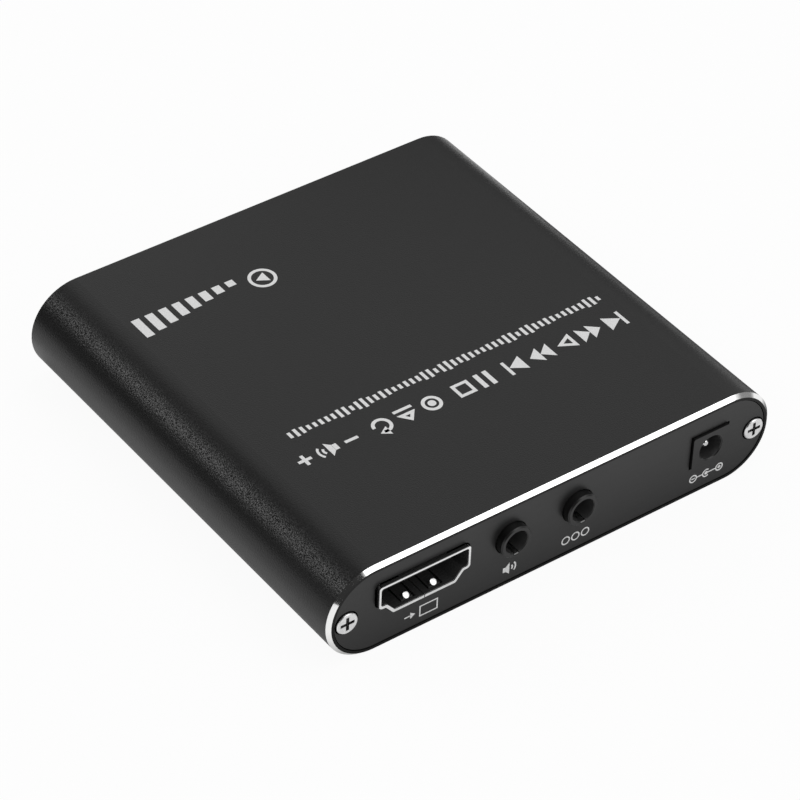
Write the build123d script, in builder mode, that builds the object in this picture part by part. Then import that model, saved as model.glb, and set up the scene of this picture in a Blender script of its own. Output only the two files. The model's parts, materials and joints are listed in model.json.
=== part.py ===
from build123d import *

import os
from math import asin, atan, cos, degrees, pi, sin, sqrt

# Mini media player: an extruded sleeve closed by two screwed end panels, with the circuit board
# and its sockets inside. Millimetres, +Z up, the origin at the middle of the sleeve's underside.
# The port panel is at -Y. The media panel, with the drive and card sockets, is at +Y.

# Sleeve
case_width = 74.0
case_length = 72.0
case_height = 14.8
case_wall = 0.95
end_chamfer = 0.53

# End panels
panel_thickness = 2.0
panel_recess = 0.1
panel_gap = 0.12
cut_overrun = 1.0

# Panel screws and the channels in the sleeve that they bite into
screw_inset = 2.95
screw_radius = 1.0
screw_length = 8.0
screw_head_radius = 1.65
screw_head_height = 1.4
screw_head_proud = 0.3
screw_head_edge = 0.12
screw_head_gap = 0.2
screw_hole_gap = 0.2
cross_width = 0.5
cross_span = 2.2
cross_depth = 0.7
channel_wall = 1.0
channel_neck = 2.6
channel_slit = 0.8

# Circuit board, held between the screw channels and the ledges
board_thickness = 1.6
board_side_gap = 0.3
board_end_gap = 0.2
groove_gap = 0.1
ledge_thickness = 0.9
ledge_reach = 1.8
tail_length = 0.7
tail_gap = 0.12

# Video socket with 19 contacts
video_inset = 12.05
video_rise = 3.35
video_proud = 0.6
video_mouth_width = 14.0
video_mouth_height = 4.55
video_side_height = 3.05
video_shoulder = 0.95
video_floor_width = 9.6
video_corner = 0.38
video_wall = 0.3
video_rim = 0.42
video_rim_length = 0.5
video_depth = 11.5
video_gap = 0.2
video_seam = 0.12
video_finger_width = 1.8
video_finger_length = 4.6
video_finger_slit = 0.3
video_floor_finger_depth = 0.6
video_roof_finger_depth = 3.0
video_floor_finger_x = 2.2
video_roof_finger_x = 3.6
video_dimple_radius = 0.48
video_dimple_height = 0.42
video_leg_width = 1.0
video_leg_depths = (3.4, 9.0)
video_leg_overlap = 0.6
video_tongue_width = 11.6
video_tongue_thickness = 1.2
video_tongue_rise = 0.35
video_tongue_depth = 2.0
video_block_depth = 7.0
video_block_gap = 0.03
video_contact_width = 0.28
video_contact_thickness = 0.12
video_contact_pitch = 1.0
video_contact_counts = (10, 9)
video_contact_setback = 0.4
video_tail_reach = 0.5
video_foot_length = 0.9

# The two 3.5 mm jacks
av_jack_inset = 14.45
jack_pitch = 11.1
jack_rise = 3.25
jack_proud = 1.25
jack_collar_radius = 2.5
jack_collar_edge = 0.2
jack_collar_gap = 0.12
jack_bore_radius = 1.8
jack_bore_length = 14.0
jack_mouth_bevel = 0.1
jack_panel_gap = 0.15
jack_width = 6.6
jack_length = 11.5
jack_body_edge = 0.3
jack_leaf_thickness = 0.25
jack_leaf_height = 1.2
jack_leaf_length = 3.2
jack_leaf_room = 0.2
jack_tab_width = 0.9
jack_leaf_sides = (1, -1, 1)
jack_leaf_start_shares = (0.14, 0.38, 0.62)
jack_leaf_cut_share = 0.9
ground_leaf_width = 0.7
ground_leaf_setback = 0.02
ground_leaf_end_share = 0.1
ground_leaf_room = 0.08

# Direct-current power jack
dc_inset = 7.8
dc_rise = 2.6
dc_width = 6.35
dc_height = 5.4
dc_length = 9.6
dc_proud = 0.4
dc_gap = 0.15
dc_hole_radius = 1.9
dc_hole_depth = 8.4
dc_mouth_bevel = 0.15
dc_body_edge = 0.2
dc_pin_radius = 0.65
dc_pin_setback = 1.0
dc_pin_tip = 0.3
dc_rivet_radius = 1.1
dc_rivet_length = 0.4
dc_tab_width = 1.6
dc_tab_thickness = 0.3
dc_leaf_height = 1.6
dc_leaf_length = 4.2
dc_leaf_start_share = 0.42
dc_leaf_room = 0.2
dc_leaf_cut_share = 0.9

# Flash-drive socket
drive_inset = 10.45
drive_rise = 3.6
drive_setback = 0.15
drive_mouth_width = 12.5
drive_mouth_height = 5.1
drive_corner = 0.5
drive_wall = 0.3
drive_flare = 0.5
drive_flare_length = 0.7
drive_depth = 14.0
drive_gap = 0.3
drive_leg_width = 2.4
drive_leg_depth = 8.0
drive_finger_x = 2.9
drive_finger_width = 1.8
drive_finger_length = 5.0
drive_finger_slit = 0.35
drive_finger_depth = 2.0
drive_tongue_width = 11.1
drive_tongue_thickness = 1.9
drive_tongue_rise = 1.0
drive_tongue_depth = 1.0
drive_block_depth = 10.0
drive_block_gap = 0.03
drive_contact_places = (-3.5, -1.0, 1.0, 3.5)
drive_contact_width = 0.9
drive_contact_thickness = 0.2
drive_contact_setback = 1.2
drive_tail_reach = 0.6

# Memory-card socket, push to lock and push to eject
card_inset = 3.45
card_width = 24.0
card_play = 0.2
card_slot_gap = 0.35
card_slot_bevel = 0.3
card_panel_gap = 0.15
card_floor = 0.6
card_bay_height = 2.5
card_side_wall = 1.0
card_back_wall = 1.0
card_depth = 29.4
card_rib = 0.5
card_rib_height = 0.5
cover_sheet = 0.2
cover_fit = 0.02
cover_lug_width = 1.6
cover_lug_reach = 0.9
cover_lug_depths = (9.0, 22.0)
cover_tongue_width = 1.2
cover_tongue_length = 6.0
cover_tongue_slit = 0.3
cover_tongue_depth = 6.5
card_contact_count = 9
card_contact_pitch = 2.5
card_contact_start = 11.0
card_contact_width = 0.8
card_contact_thickness = 0.15
card_contact_reach = 9.0
card_contact_lift = 0.45
card_contact_tip = 0.8
card_tail_reach = 0.6
card_foot_length = 0.8

# Slider of the card socket, its eject spring and its latch pin
slider_width = 2.4
slider_gap = 0.1
slider_height = 2.0
slider_start = 7.5
slider_length = 14.9
slider_toe_length = 1.4
slider_toe_reach = 2.0
cam_wall = 0.35
cam_lane = 0.5
cam_depth = 0.5
cam_start = 0.8
cam_length = 6.8
heart_length = 2.8
heart_notch_share = 0.25
heart_shoulder_share = 0.45
spring_pocket_radius = 0.7
spring_pocket_depth = 3.0
spring_radius = 0.52
spring_wire_radius = 0.12
spring_turns = 5
wire_sides = 4
spring_end_gap = 0.03
pin_radius = 0.15
pin_bend = 0.25
pin_root_depth = 5.0
pin_root_length = 1.2
pin_hole_gap = 0.05
pin_lift = 0.05
pin_tip_gap = 0.1

# Infrared receiver and its window
ir_rise = 4.0
ir_width = 4.4
ir_height = 5.6
ir_thickness = 3.0
ir_lens_radius = 1.6
ir_lens_reach = 0.6
ir_lens_angle = 35.0
ir_depth = 6.4
ir_lead_width = 0.45
ir_lead_pitch = 1.27
window_radius = 1.9
window_gap = 0.08
window_flange = 0.5
window_flange_thickness = 0.6
window_edge = 0.3

# Status light on the board, which shines through the same window
led_width = 2.6
led_length = 1.0
led_height = 1.2
led_lens_width = 1.8
led_lens_reach = 0.3
led_window_gap = 0.4

# Chips and other parts on the board. Places behind the processor are shares of the two pitches.
column_pitch = 5.4
row_pitch = 5.4
part_gap = 0.5
mould_angle = 6.0
processor_size = 17.0
processor_substrate = 0.5
processor_height = 1.3
processor_margin = 0.8
chip_lead_thickness = 0.2
chip_lead_reach = 0.7
memory_width = 12.6
memory_length = 10.2
memory_height = 1.1
memory_pitch = 13.8
memory_lead_pitch = 1.9
memory_lead_count = 6
memory_lead_width = 0.8
flash_width = 4.9
flash_length = 5.2
flash_height = 1.6
flash_place_shares = (0.85, 0.65)
driver_width = 4.9
driver_length = 4.2
driver_height = 1.4
driver_place_shares = (0.85, 1.95)
small_lead_pitch = 1.27
small_lead_count = 4
small_lead_width = 0.42
crystal_width = 2.5
crystal_length = 3.2
crystal_height = 0.9
crystal_base_height = 0.5
crystal_lid_margin = 0.2
can_radius = 2.0
can_height = 5.4
can_base = 4.3
can_base_height = 0.9
can_base_cut = 0.8
can_edge = 0.3
can_place_shares = ((-1.15, 2.5), (-0.15, 2.5))
inductor_size = 4.8
inductor_height = 2.9
inductor_corner = 1.0
inductor_core_radius = 1.8
inductor_core_depth = 0.3
inductor_place_shares = ((-1.15, 0.5), (-0.15, 0.5))
regulator_width = 4.5
regulator_length = 2.5
regulator_height = 1.5
regulator_tab_width = 1.8
regulator_tab_reach = 1.1
regulator_lead_width = 0.5
regulator_lead_pitch = 1.5
regulator_lead_thickness = 0.3
regulator_place_shares = ((-1.15, 1.5), (-0.15, 1.5))
resistor_length = 1.6
resistor_width = 0.8
resistor_height = 0.45
resistor_pitch = 1.6
resistor_count = 7

# Places that follow from the sizes above
screw_x = case_width / 2 - screw_inset
screw_z = case_height / 2
channel_radius = screw_radius + channel_wall
panel_face = case_length / 2 - panel_recess
panel_back = panel_face - panel_thickness
board_top = screw_z - channel_radius - groove_gap
board_bottom = board_top - board_thickness
tail_end = board_bottom - tail_length
video_x = video_inset - screw_x
av_jack_x = video_x + av_jack_inset
component_jack_x = av_jack_x + jack_pitch
dc_x = screw_x - dc_inset
drive_x = screw_x - drive_inset


def inner_half_width(height):
    """Half of the clear width inside the sleeve at a height above the base."""
    radius = case_height / 2 - case_wall
    return case_width / 2 - case_height / 2 + sqrt(radius**2 - (height - case_height / 2) ** 2)


board_width = 2 * (inner_half_width(board_bottom) - board_side_gap)
board_length = 2 * (panel_back - board_end_gap)


def port_plane(depth):
    """Upright plane facing out of the port end, at a depth inside the panel's outer face."""
    return Plane.XZ.offset(panel_face - depth)


def media_plane(depth):
    """Upright plane facing into the case from the media end, at a depth inside the panel's face."""
    return Plane.XZ.offset(depth - panel_face)


def draw_span(start, end, mode=Mode.ADD):
    """Draw a rectangle from one corner to the opposite one."""
    with Locations(((start[0] + end[0]) / 2, (start[1] + end[1]) / 2)):
        Rectangle(abs(end[0] - start[0]), abs(end[1] - start[1]), mode=mode)


def dome(radius, height):
    """Add a round cap of a base radius and a height, standing on the place where it is put."""
    ball = (radius**2 + height**2) / (2 * height)
    start = degrees(asin(1 - height / ball))
    Sphere(ball, arc_size1=start, align=(Align.CENTER, Align.CENTER, Align.MIN))


# Sleeve: a stadium tube with two screw channels, two ledges under the board and cut end edges
with BuildPart() as case_sleeve:
    with BuildSketch(Plane.XZ):
        with Locations((0, case_height / 2)):
            SlotOverall(case_width, case_height)
            SlotOverall(case_width - 2 * case_wall, case_height - 2 * case_wall, mode=Mode.SUBTRACT)
    extrude(amount=case_length / 2, both=True)
    for end in (0, -1):
        end_face = case_sleeve.faces().sort_by(Axis.Y)[end]
        chamfer(end_face.outer_wire().edges(), end_chamfer)
    with BuildSketch(Plane.XZ):
        with Locations((screw_x, screw_z)):
            Circle(channel_radius)
        draw_span((screw_x, screw_z - channel_neck / 2), (case_width / 2, screw_z + channel_neck / 2))
        ledge_top = board_bottom - groove_gap
        draw_span(
            (board_width / 2 - ledge_reach, ledge_top - ledge_thickness),
            (case_width / 2, ledge_top),
        )
        with Locations((0, case_height / 2)):
            SlotOverall(case_width - case_wall, case_height - case_wall, mode=Mode.INTERSECT)
        with Locations((screw_x, screw_z)):
            Circle(screw_radius, mode=Mode.SUBTRACT)
            Rectangle(2 * channel_radius, channel_slit, align=(Align.MAX, Align.CENTER), mode=Mode.SUBTRACT)
        mirror(about=Plane.YZ)
    extrude(amount=panel_back, both=True)
case_sleeve.part.label = "case_sleeve"

# Mouth of the video socket: straight sides, a step in on each side and a narrower floor
video_z = board_top + video_rise
video_face = -panel_face - video_proud
video_top = video_mouth_height / 2
video_step = video_top - video_side_height
video_half = video_mouth_width / 2
video_slant = (video_half - video_shoulder - video_floor_width / 2) / (video_top + video_step)


def video_outline(grow=0):
    """Outline of the video socket's mouth about its own centre, grown or shrunk all round."""
    half, top, step = video_half + grow, video_top + grow, video_step - grow
    slant_start = video_half - video_shoulder + grow * sqrt(1 + video_slant**2)
    step_end = slant_start + (step - video_step) * video_slant
    floor_half = slant_start - (top + video_step) * video_slant
    with BuildSketch() as outline:
        with BuildLine():
            Polyline(
                (-half, top),
                (half, top),
                (half, step),
                (step_end, step),
                (floor_half, -top),
                (-floor_half, -top),
                (-step_end, step),
                (-half, step),
                close=True,
            )
        make_face()
        inner_corners = outline.vertices().sort_by(lambda corner: abs(corner.X))[:4]
        fillet(inner_corners, video_corner)
        outer_corners = outline.vertices().sort_by(lambda corner: abs(corner.X))[-4:]
        fillet(outer_corners, video_corner + grow)
    return outline.sketch


video_mouth = video_outline()
video_rim_outline = video_outline(video_rim)
video_sheet_outline = video_outline(video_wall)
video_block_outline = video_outline(-video_block_gap)
video_cut_outline = video_outline(video_rim + video_gap)


def draw_video(outline, mode=Mode.ADD):
    """Draw one of the video socket's outlines at its place on an end plane."""
    with Locations((video_x, video_z)):
        add(outline, mode=mode)


# Port panel: a plate that fills the sleeve's mouth, with a cut-out for each socket
jack_z = board_top + jack_rise
dc_z = board_top + dc_rise
dc_middle = board_top + dc_height / 2
screw_places = ((-screw_x, screw_z), (screw_x, screw_z))


def draw_panel_blank():
    """Draw the outline of an end panel."""
    margin = 2 * (case_wall + panel_gap)
    with Locations((0, case_height / 2)):
        SlotOverall(case_width - margin, case_height - margin)


def drill_screw_holes():
    """Drill the two counterbored screw holes of an end panel."""
    with Locations(*screw_places):
        CounterBoreHole(
            radius=screw_radius + screw_hole_gap,
            counter_bore_radius=screw_head_radius + screw_head_gap,
            counter_bore_depth=screw_head_height - screw_head_proud,
            depth=panel_thickness,
        )


with BuildPart() as port_panel:
    with BuildSketch(port_plane(0)):
        draw_panel_blank()
        draw_video(video_cut_outline, Mode.SUBTRACT)
        with Locations((av_jack_x, jack_z), (component_jack_x, jack_z)):
            Circle(jack_collar_radius + jack_collar_gap, mode=Mode.SUBTRACT)
        with Locations((dc_x, dc_middle)):
            Rectangle(dc_width + 2 * dc_gap, dc_height + 2 * dc_gap, mode=Mode.SUBTRACT)
    extrude(amount=-panel_thickness)
    with Locations(port_plane(0)):
        drill_screw_holes()
port_panel.part.label = "port_panel"

# Card socket from side to side: side wall, slider, rib, the card with its play, and side wall
base_left = card_inset - screw_x
slider_left = base_left + card_side_wall + slider_gap
slider_right = slider_left + slider_width
rib_left = slider_right + slider_gap
card_left = rib_left + card_rib
card_right = card_left + card_width + 2 * card_play
card_x = (card_left + card_right) / 2
base_right = card_right + card_side_wall
card_mouth_y = panel_back - card_panel_gap
base_back_y = card_mouth_y - card_depth
back_wall_y = base_back_y + card_back_wall
bay_floor = board_top + card_floor
bay_top = bay_floor + card_bay_height
drive_z = board_top + drive_rise
drive_cut_grow = drive_wall + drive_flare + drive_gap
drive_cut_left = drive_x - drive_mouth_width / 2 - drive_cut_grow
ir_x = (base_right + cover_fit + cover_sheet + drive_cut_left) / 2
ir_z = board_top + ir_rise


def draw_drive_mouth(grow=0, mode=Mode.ADD):
    """Draw the flash-drive socket's mouth at its place, grown or shrunk all round."""
    width = drive_mouth_width + 2 * grow
    height = drive_mouth_height + 2 * grow
    with Locations((drive_x, drive_z)):
        RectangleRounded(width, height, drive_corner + grow, mode=mode)


# Media panel: card slot with eased edges, drive socket and window
media_face = Plane(origin=(0, panel_face, 0), x_dir=(-1, 0, 0), z_dir=(0, 1, 0))
with BuildPart() as media_panel:
    with BuildSketch(media_plane(0)):
        draw_panel_blank()
        draw_span(
            (card_left - card_slot_gap, bay_floor - card_slot_gap),
            (card_right + card_slot_gap, bay_top + card_slot_gap),
            Mode.SUBTRACT,
        )
        draw_drive_mouth(drive_cut_grow, Mode.SUBTRACT)
        with Locations((ir_x, ir_z)):
            Circle(window_radius + window_gap, mode=Mode.SUBTRACT)
    extrude(amount=panel_thickness)
    outer_face = media_panel.faces().sort_by(Axis.Y)[-1]
    slot_edges = outer_face.inner_wires().sort_by(SortBy.LENGTH)[-1].edges()
    chamfer(slot_edges, card_slot_bevel)
    with Locations(media_face):
        drill_screw_holes()
media_panel.part.label = "media_panel"


def panel_screws(face):
    """Two cross-head screws, let into the face that they hold and a little proud of it."""
    outward = Axis(face.origin, face.z_dir)
    head_top = face.offset(screw_head_proud)
    with BuildPart() as screws:
        with BuildSketch(head_top):
            with Locations(*screw_places):
                Circle(screw_head_radius)
        extrude(amount=-screw_head_height)
        chamfer(screws.edges().sort_by(outward)[-2:], screw_head_edge)
        with BuildSketch(head_top):
            with Locations(*screw_places):
                Rectangle(cross_span, cross_width)
                Rectangle(cross_width, cross_span)
        extrude(amount=-cross_depth, mode=Mode.SUBTRACT)
        with BuildSketch(head_top.offset(-screw_head_height)):
            with Locations(*screw_places):
                Circle(screw_radius)
        extrude(amount=-screw_length)
    return screws.part


port_panel_screws = panel_screws(port_plane(0))
port_panel_screws.label = "port_panel_screws"
media_panel_screws = panel_screws(media_face)
media_panel_screws.label = "media_panel_screws"

# Video socket shell: rolled rim, folded sheet with a seam, spring fingers and four legs
video_leg_places = [
    (video_x + side * (video_half + video_wall / 2), video_face + depth)
    for side in (-1, 1)
    for depth in video_leg_depths
]


def cut_fingers(places, width, length, slit, height, wall):
    """Cut a U-shaped slit round each spring finger in a flat sheet that starts at a height."""
    with BuildSketch(Plane.XY.offset(height - wall / 2)) as slits:
        with Locations(*places):
            Rectangle(width + 2 * slit, length)
        with Locations(*[(x, y + slit / 2) for x, y in places]):
            Rectangle(width, length - slit, mode=Mode.SUBTRACT)
    extrude(slits.sketch, amount=2 * wall, mode=Mode.SUBTRACT)


finger_middle = video_face + video_finger_length / 2
floor_finger_y = finger_middle + video_floor_finger_depth
roof_finger_y = finger_middle + video_roof_finger_depth
floor_fingers = [(video_x + side * video_floor_finger_x, floor_finger_y) for side in (-1, 1)]
roof_fingers = [(video_x + side * video_roof_finger_x, roof_finger_y) for side in (-1, 1)]
video_floor_z = video_z - video_top
video_roof_z = video_z + video_top
dimple_y = video_face + video_floor_finger_depth + video_finger_slit + video_dimple_radius
with BuildPart() as video_socket_shell:
    with BuildSketch(port_plane(-video_proud)):
        draw_video(video_rim_outline)
        draw_video(video_mouth, Mode.SUBTRACT)
    extrude(amount=-video_rim_length)
    with BuildSketch(port_plane(video_rim_length - video_proud)):
        draw_video(video_sheet_outline)
        draw_video(video_mouth, Mode.SUBTRACT)
    extrude(amount=video_rim_length - video_depth)
    with BuildSketch(Plane.XY.offset(tail_end)):
        with Locations(*video_leg_places):
            Rectangle(video_wall, video_leg_width)
    extrude(amount=video_z + video_step + video_leg_overlap - tail_end)
    finger = (video_finger_width, video_finger_length, video_finger_slit)
    cut_fingers(floor_fingers, *finger, video_floor_z - video_wall, video_wall)
    cut_fingers(roof_fingers, *finger, video_roof_z, video_wall)
    with Locations(*[(x, dimple_y, video_floor_z) for x, y in floor_fingers]):
        dome(video_dimple_radius, video_dimple_height)
    with BuildSketch(Plane.XY.offset(video_floor_z - 2 * video_rim)):
        draw_span(
            (video_x - video_seam / 2, video_face - cut_overrun),
            (video_x + video_seam / 2, video_face + video_depth + cut_overrun),
        )
    extrude(amount=3 * video_rim, mode=Mode.SUBTRACT)
video_socket_shell.part.label = "video_socket_shell"


def bent_strip(points, thickness, x, width):
    """Add a strip of sheet metal that follows a bent line in an upright plane along the case."""
    with BuildSketch(Plane.YZ.offset(x - width / 2)) as strip:
        with BuildLine():
            Polyline(*points)
        trace(line_width=thickness)
    extrude(strip.sketch, amount=width)


# Video contacts: one row above and one below the tongue, each with a tail down to the board
tongue_z = video_z + video_tongue_rise
video_back = video_face + video_depth
contact_y = video_face + video_tongue_depth + video_contact_setback
with BuildPart() as video_socket_contacts:
    for row, count in zip((1, -1), video_contact_counts):
        strip_z = tongue_z + row * (video_tongue_thickness + video_contact_thickness) / 2
        foot_z = board_top + video_contact_thickness / 2
        for index in range(count):
            strip_x = video_x + (index - (count - 1) / 2) * video_contact_pitch
            bent_strip(
                (
                    (contact_y, strip_z),
                    (video_back + video_tail_reach, strip_z),
                    (video_back + video_tail_reach, foot_z),
                    (video_back + video_tail_reach + video_foot_length, foot_z),
                ),
                video_contact_thickness,
                strip_x,
                video_contact_width,
            )
video_socket_contacts.part.label = "video_socket_contacts"

# Video insulator: a block that fills the back of the shell, with the tongue in front of it
with BuildPart() as video_socket_insulator:
    with BuildSketch(port_plane(video_block_depth - video_proud)):
        draw_video(video_block_outline)
    extrude(amount=video_block_depth - video_depth)
    with BuildSketch(port_plane(video_block_depth - video_proud)):
        with Locations((video_x, tongue_z)):
            Rectangle(video_tongue_width, video_tongue_thickness)
    extrude(amount=video_block_depth - video_tongue_depth)
    add(video_socket_contacts.part, mode=Mode.SUBTRACT)
video_socket_insulator.part.label = "video_socket_insulator"

# The 3.5 mm jacks: moulded body and collar with one straight bore, and leaf contacts let into it
jack_front = panel_back - jack_panel_gap
jack_mouth = panel_face + jack_proud
ground_z = jack_z - jack_bore_radius - jack_leaf_thickness / 2
ground_front_y = ground_leaf_setback - jack_mouth
ground_back_y = jack_length * ground_leaf_end_share - jack_front
leaf_starts = [share * jack_length - jack_front for share in jack_leaf_start_shares]


def jack_contacts(x):
    """Three leaf contacts beside the bore and one ground leaf under it, each with a tail."""
    with BuildPart() as contacts:
        for side, start in zip(jack_leaf_sides, leaf_starts):
            with BuildSketch(Plane.YZ.offset(x + side * jack_bore_radius)):
                leaf_bottom = jack_z - jack_leaf_height / 2
                draw_span((start, leaf_bottom), (start + jack_leaf_length, leaf_bottom + jack_leaf_height))
                draw_span((start, tail_end), (start + jack_tab_width, jack_z))
            extrude(amount=side * jack_leaf_thickness)
        bent_strip(
            ((ground_front_y, ground_z), (ground_back_y, ground_z), (ground_back_y, tail_end)),
            jack_leaf_thickness,
            x,
            ground_leaf_width,
        )
    return contacts.part


def jack_housing(x):
    """Jack body on the board, with its collar through the panel and recesses for the contacts."""
    with BuildPart() as housing:
        with BuildSketch(port_plane(panel_face - jack_front)):
            with Locations((x, jack_z)):
                Rectangle(jack_width, 2 * jack_rise)
        extrude(amount=-jack_length)
        chamfer(housing.edges().filter_by(Axis.Y).group_by(Axis.Z)[-1], jack_body_edge)
        with BuildSketch(port_plane(-jack_proud)):
            with Locations((x, jack_z)):
                Circle(jack_collar_radius)
        extrude(amount=jack_front - jack_mouth)
        chamfer(housing.faces().sort_by(Axis.Y)[0].edges(), jack_collar_edge)
        with BuildSketch(port_plane(-jack_proud)):
            with Locations((x, jack_z)):
                Circle(jack_bore_radius)
        extrude(amount=-jack_bore_length, mode=Mode.SUBTRACT)
        chamfer(housing.faces().sort_by(Axis.Y)[0].inner_wires()[0].edges(), jack_mouth_bevel)
        for side, start in zip(jack_leaf_sides, leaf_starts):
            with BuildSketch(Plane.XY.offset(board_top)):
                draw_span(
                    (x + side * jack_bore_radius * jack_leaf_cut_share, start - jack_leaf_room),
                    (x + side * (jack_width / 2 + cut_overrun), start + jack_leaf_length + jack_leaf_room),
                )
            extrude(amount=jack_rise + jack_leaf_height / 2 + jack_leaf_room, mode=Mode.SUBTRACT)
        groove_half = ground_leaf_width / 2 + ground_leaf_room
        groove_bottom = jack_z - jack_bore_radius - jack_leaf_thickness - ground_leaf_room
        groove_end = ground_back_y + jack_leaf_thickness / 2 + ground_leaf_room
        with BuildSketch(Plane.XY.offset(groove_bottom)):
            draw_span((x - groove_half, ground_front_y - ground_leaf_room), (x + groove_half, groove_end))
        extrude(amount=jack_z - groove_bottom - jack_bore_radius * jack_leaf_cut_share, mode=Mode.SUBTRACT)
        with BuildSketch(Plane.XY.offset(board_top)):
            draw_span((x - groove_half, -jack_front), (x + groove_half, groove_end))
        extrude(amount=groove_bottom - board_top, mode=Mode.SUBTRACT)
    return housing.part


av_jack_housing = jack_housing(av_jack_x)
av_jack_housing.label = "av_jack_housing"
av_jack_contacts = jack_contacts(av_jack_x)
av_jack_contacts.label = "av_jack_contacts"
component_jack_housing = jack_housing(component_jack_x)
component_jack_housing.label = "component_jack_housing"
component_jack_contacts = jack_contacts(component_jack_x)
component_jack_contacts.label = "component_jack_contacts"

# Power jack: square body, round hole with a centre pin, and a leaf contact let into one side
dc_front_y = -panel_face - dc_proud
dc_back_y = dc_front_y + dc_length
dc_leaf_y = dc_front_y + dc_length * dc_leaf_start_share
with BuildPart() as dc_jack_housing:
    with BuildSketch(port_plane(-dc_proud)):
        with Locations((dc_x, dc_middle)):
            Rectangle(dc_width, dc_height)
    extrude(amount=-dc_length)
    chamfer(dc_jack_housing.edges().filter_by(Axis.Y), dc_body_edge)
    with BuildSketch(port_plane(-dc_proud)):
        with Locations((dc_x, dc_z)):
            Circle(dc_hole_radius)
    extrude(amount=-dc_hole_depth, mode=Mode.SUBTRACT)
    chamfer(dc_jack_housing.faces().sort_by(Axis.Y)[0].inner_wires()[0].edges(), dc_mouth_bevel)
    with BuildSketch(port_plane(-dc_proud)):
        with Locations((dc_x, dc_z)):
            Circle(dc_pin_radius)
    extrude(amount=-dc_length, mode=Mode.SUBTRACT)
    with BuildSketch(Plane.XY.offset(board_top)):
        draw_span(
            (dc_x + dc_hole_radius * dc_leaf_cut_share, dc_leaf_y - dc_leaf_room),
            (dc_x + dc_width / 2 + cut_overrun, dc_leaf_y + dc_leaf_length + dc_leaf_room),
        )
    extrude(amount=dc_rise + dc_leaf_height / 2 + dc_leaf_room, mode=Mode.SUBTRACT)
dc_jack_housing.part.label = "dc_jack_housing"

with BuildPart() as dc_jack_pin:
    with BuildSketch(Plane.XZ.offset(-dc_front_y - dc_pin_setback)):
        with Locations((dc_x, dc_z)):
            Circle(dc_pin_radius)
    extrude(amount=dc_pin_setback - dc_length)
    chamfer(dc_jack_pin.faces().sort_by(Axis.Y)[0].edges(), dc_pin_tip)
    with BuildSketch(Plane.XZ.offset(-dc_back_y)):
        with Locations((dc_x, dc_z)):
            Circle(dc_rivet_radius)
        draw_span((dc_x - dc_tab_width / 2, tail_end), (dc_x + dc_tab_width / 2, dc_z))
    extrude(amount=-dc_rivet_length)
dc_jack_pin.part.label = "dc_jack_pin"

with BuildPart() as dc_jack_spring:
    with BuildSketch(Plane.YZ.offset(dc_x + dc_hole_radius)):
        draw_span(
            (dc_leaf_y, dc_z - dc_leaf_height / 2),
            (dc_leaf_y + dc_leaf_length, dc_z + dc_leaf_height / 2),
        )
        draw_span((dc_leaf_y, tail_end), (dc_leaf_y + dc_tab_width, dc_z))
    extrude(amount=dc_tab_thickness)
dc_jack_spring.part.label = "dc_jack_spring"

# Flash-drive socket: sheet shell with a flared mouth, spring fingers and two legs
drive_face = panel_face - drive_setback
drive_back = drive_face - drive_depth
drive_half_width = drive_mouth_width / 2
drive_leg_places = [
    (drive_x + side * (drive_half_width + drive_wall / 2), drive_face - drive_leg_depth)
    for side in (-1, 1)
]
drive_finger_y = drive_face - drive_finger_depth - drive_finger_length / 2
drive_fingers = [(drive_x + side * drive_finger_x, drive_finger_y) for side in (-1, 1)]
drive_flare_angle = degrees(atan(drive_flare / drive_flare_length))
with BuildPart() as drive_socket_shell:
    with BuildSketch(media_plane(drive_setback)):
        draw_drive_mouth(drive_wall + drive_flare)
    extrude(amount=drive_flare_length, taper=drive_flare_angle)
    with BuildSketch(media_plane(drive_setback + drive_flare_length)):
        draw_drive_mouth(drive_wall)
    extrude(amount=drive_depth - drive_flare_length)
    with BuildSketch(media_plane(drive_setback)):
        draw_drive_mouth(drive_flare)
    extrude(amount=drive_flare_length, taper=drive_flare_angle, mode=Mode.SUBTRACT)
    with BuildSketch(media_plane(drive_setback + drive_flare_length)):
        draw_drive_mouth()
    extrude(amount=drive_depth, mode=Mode.SUBTRACT)
    drive_finger = (drive_finger_width, drive_finger_length, drive_finger_slit)
    cut_fingers(drive_fingers, *drive_finger, drive_z + drive_mouth_height / 2, drive_wall)
    cut_fingers(drive_fingers, *drive_finger, drive_z - drive_mouth_height / 2 - drive_wall, drive_wall)
    with BuildSketch(Plane.XY.offset(tail_end)):
        with Locations(*drive_leg_places):
            Rectangle(drive_wall, drive_leg_width)
    extrude(amount=drive_z - tail_end)
drive_socket_shell.part.label = "drive_socket_shell"

drive_tongue_z = drive_z + drive_tongue_rise
drive_strip_z = drive_tongue_z - (drive_tongue_thickness + drive_contact_thickness) / 2
drive_tail_y = drive_back - drive_tail_reach
with BuildPart() as drive_socket_contacts:
    for place in drive_contact_places:
        bent_strip(
            (
                (drive_face - drive_tongue_depth - drive_contact_setback, drive_strip_z),
                (drive_tail_y, drive_strip_z),
                (drive_tail_y, tail_end),
            ),
            drive_contact_thickness,
            drive_x + place,
            drive_contact_width,
        )
drive_socket_contacts.part.label = "drive_socket_contacts"

with BuildPart() as drive_socket_insulator:
    with BuildSketch(media_plane(drive_setback + drive_block_depth)):
        draw_drive_mouth(-drive_block_gap)
    extrude(amount=drive_depth - drive_block_depth)
    with BuildSketch(media_plane(drive_setback + drive_block_depth)):
        with Locations((drive_x, drive_tongue_z)):
            Rectangle(drive_tongue_width, drive_tongue_thickness)
    extrude(amount=drive_tongue_depth - drive_block_depth)
    add(drive_socket_contacts.part, mode=Mode.SUBTRACT)
drive_socket_insulator.part.label = "drive_socket_insulator"

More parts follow.
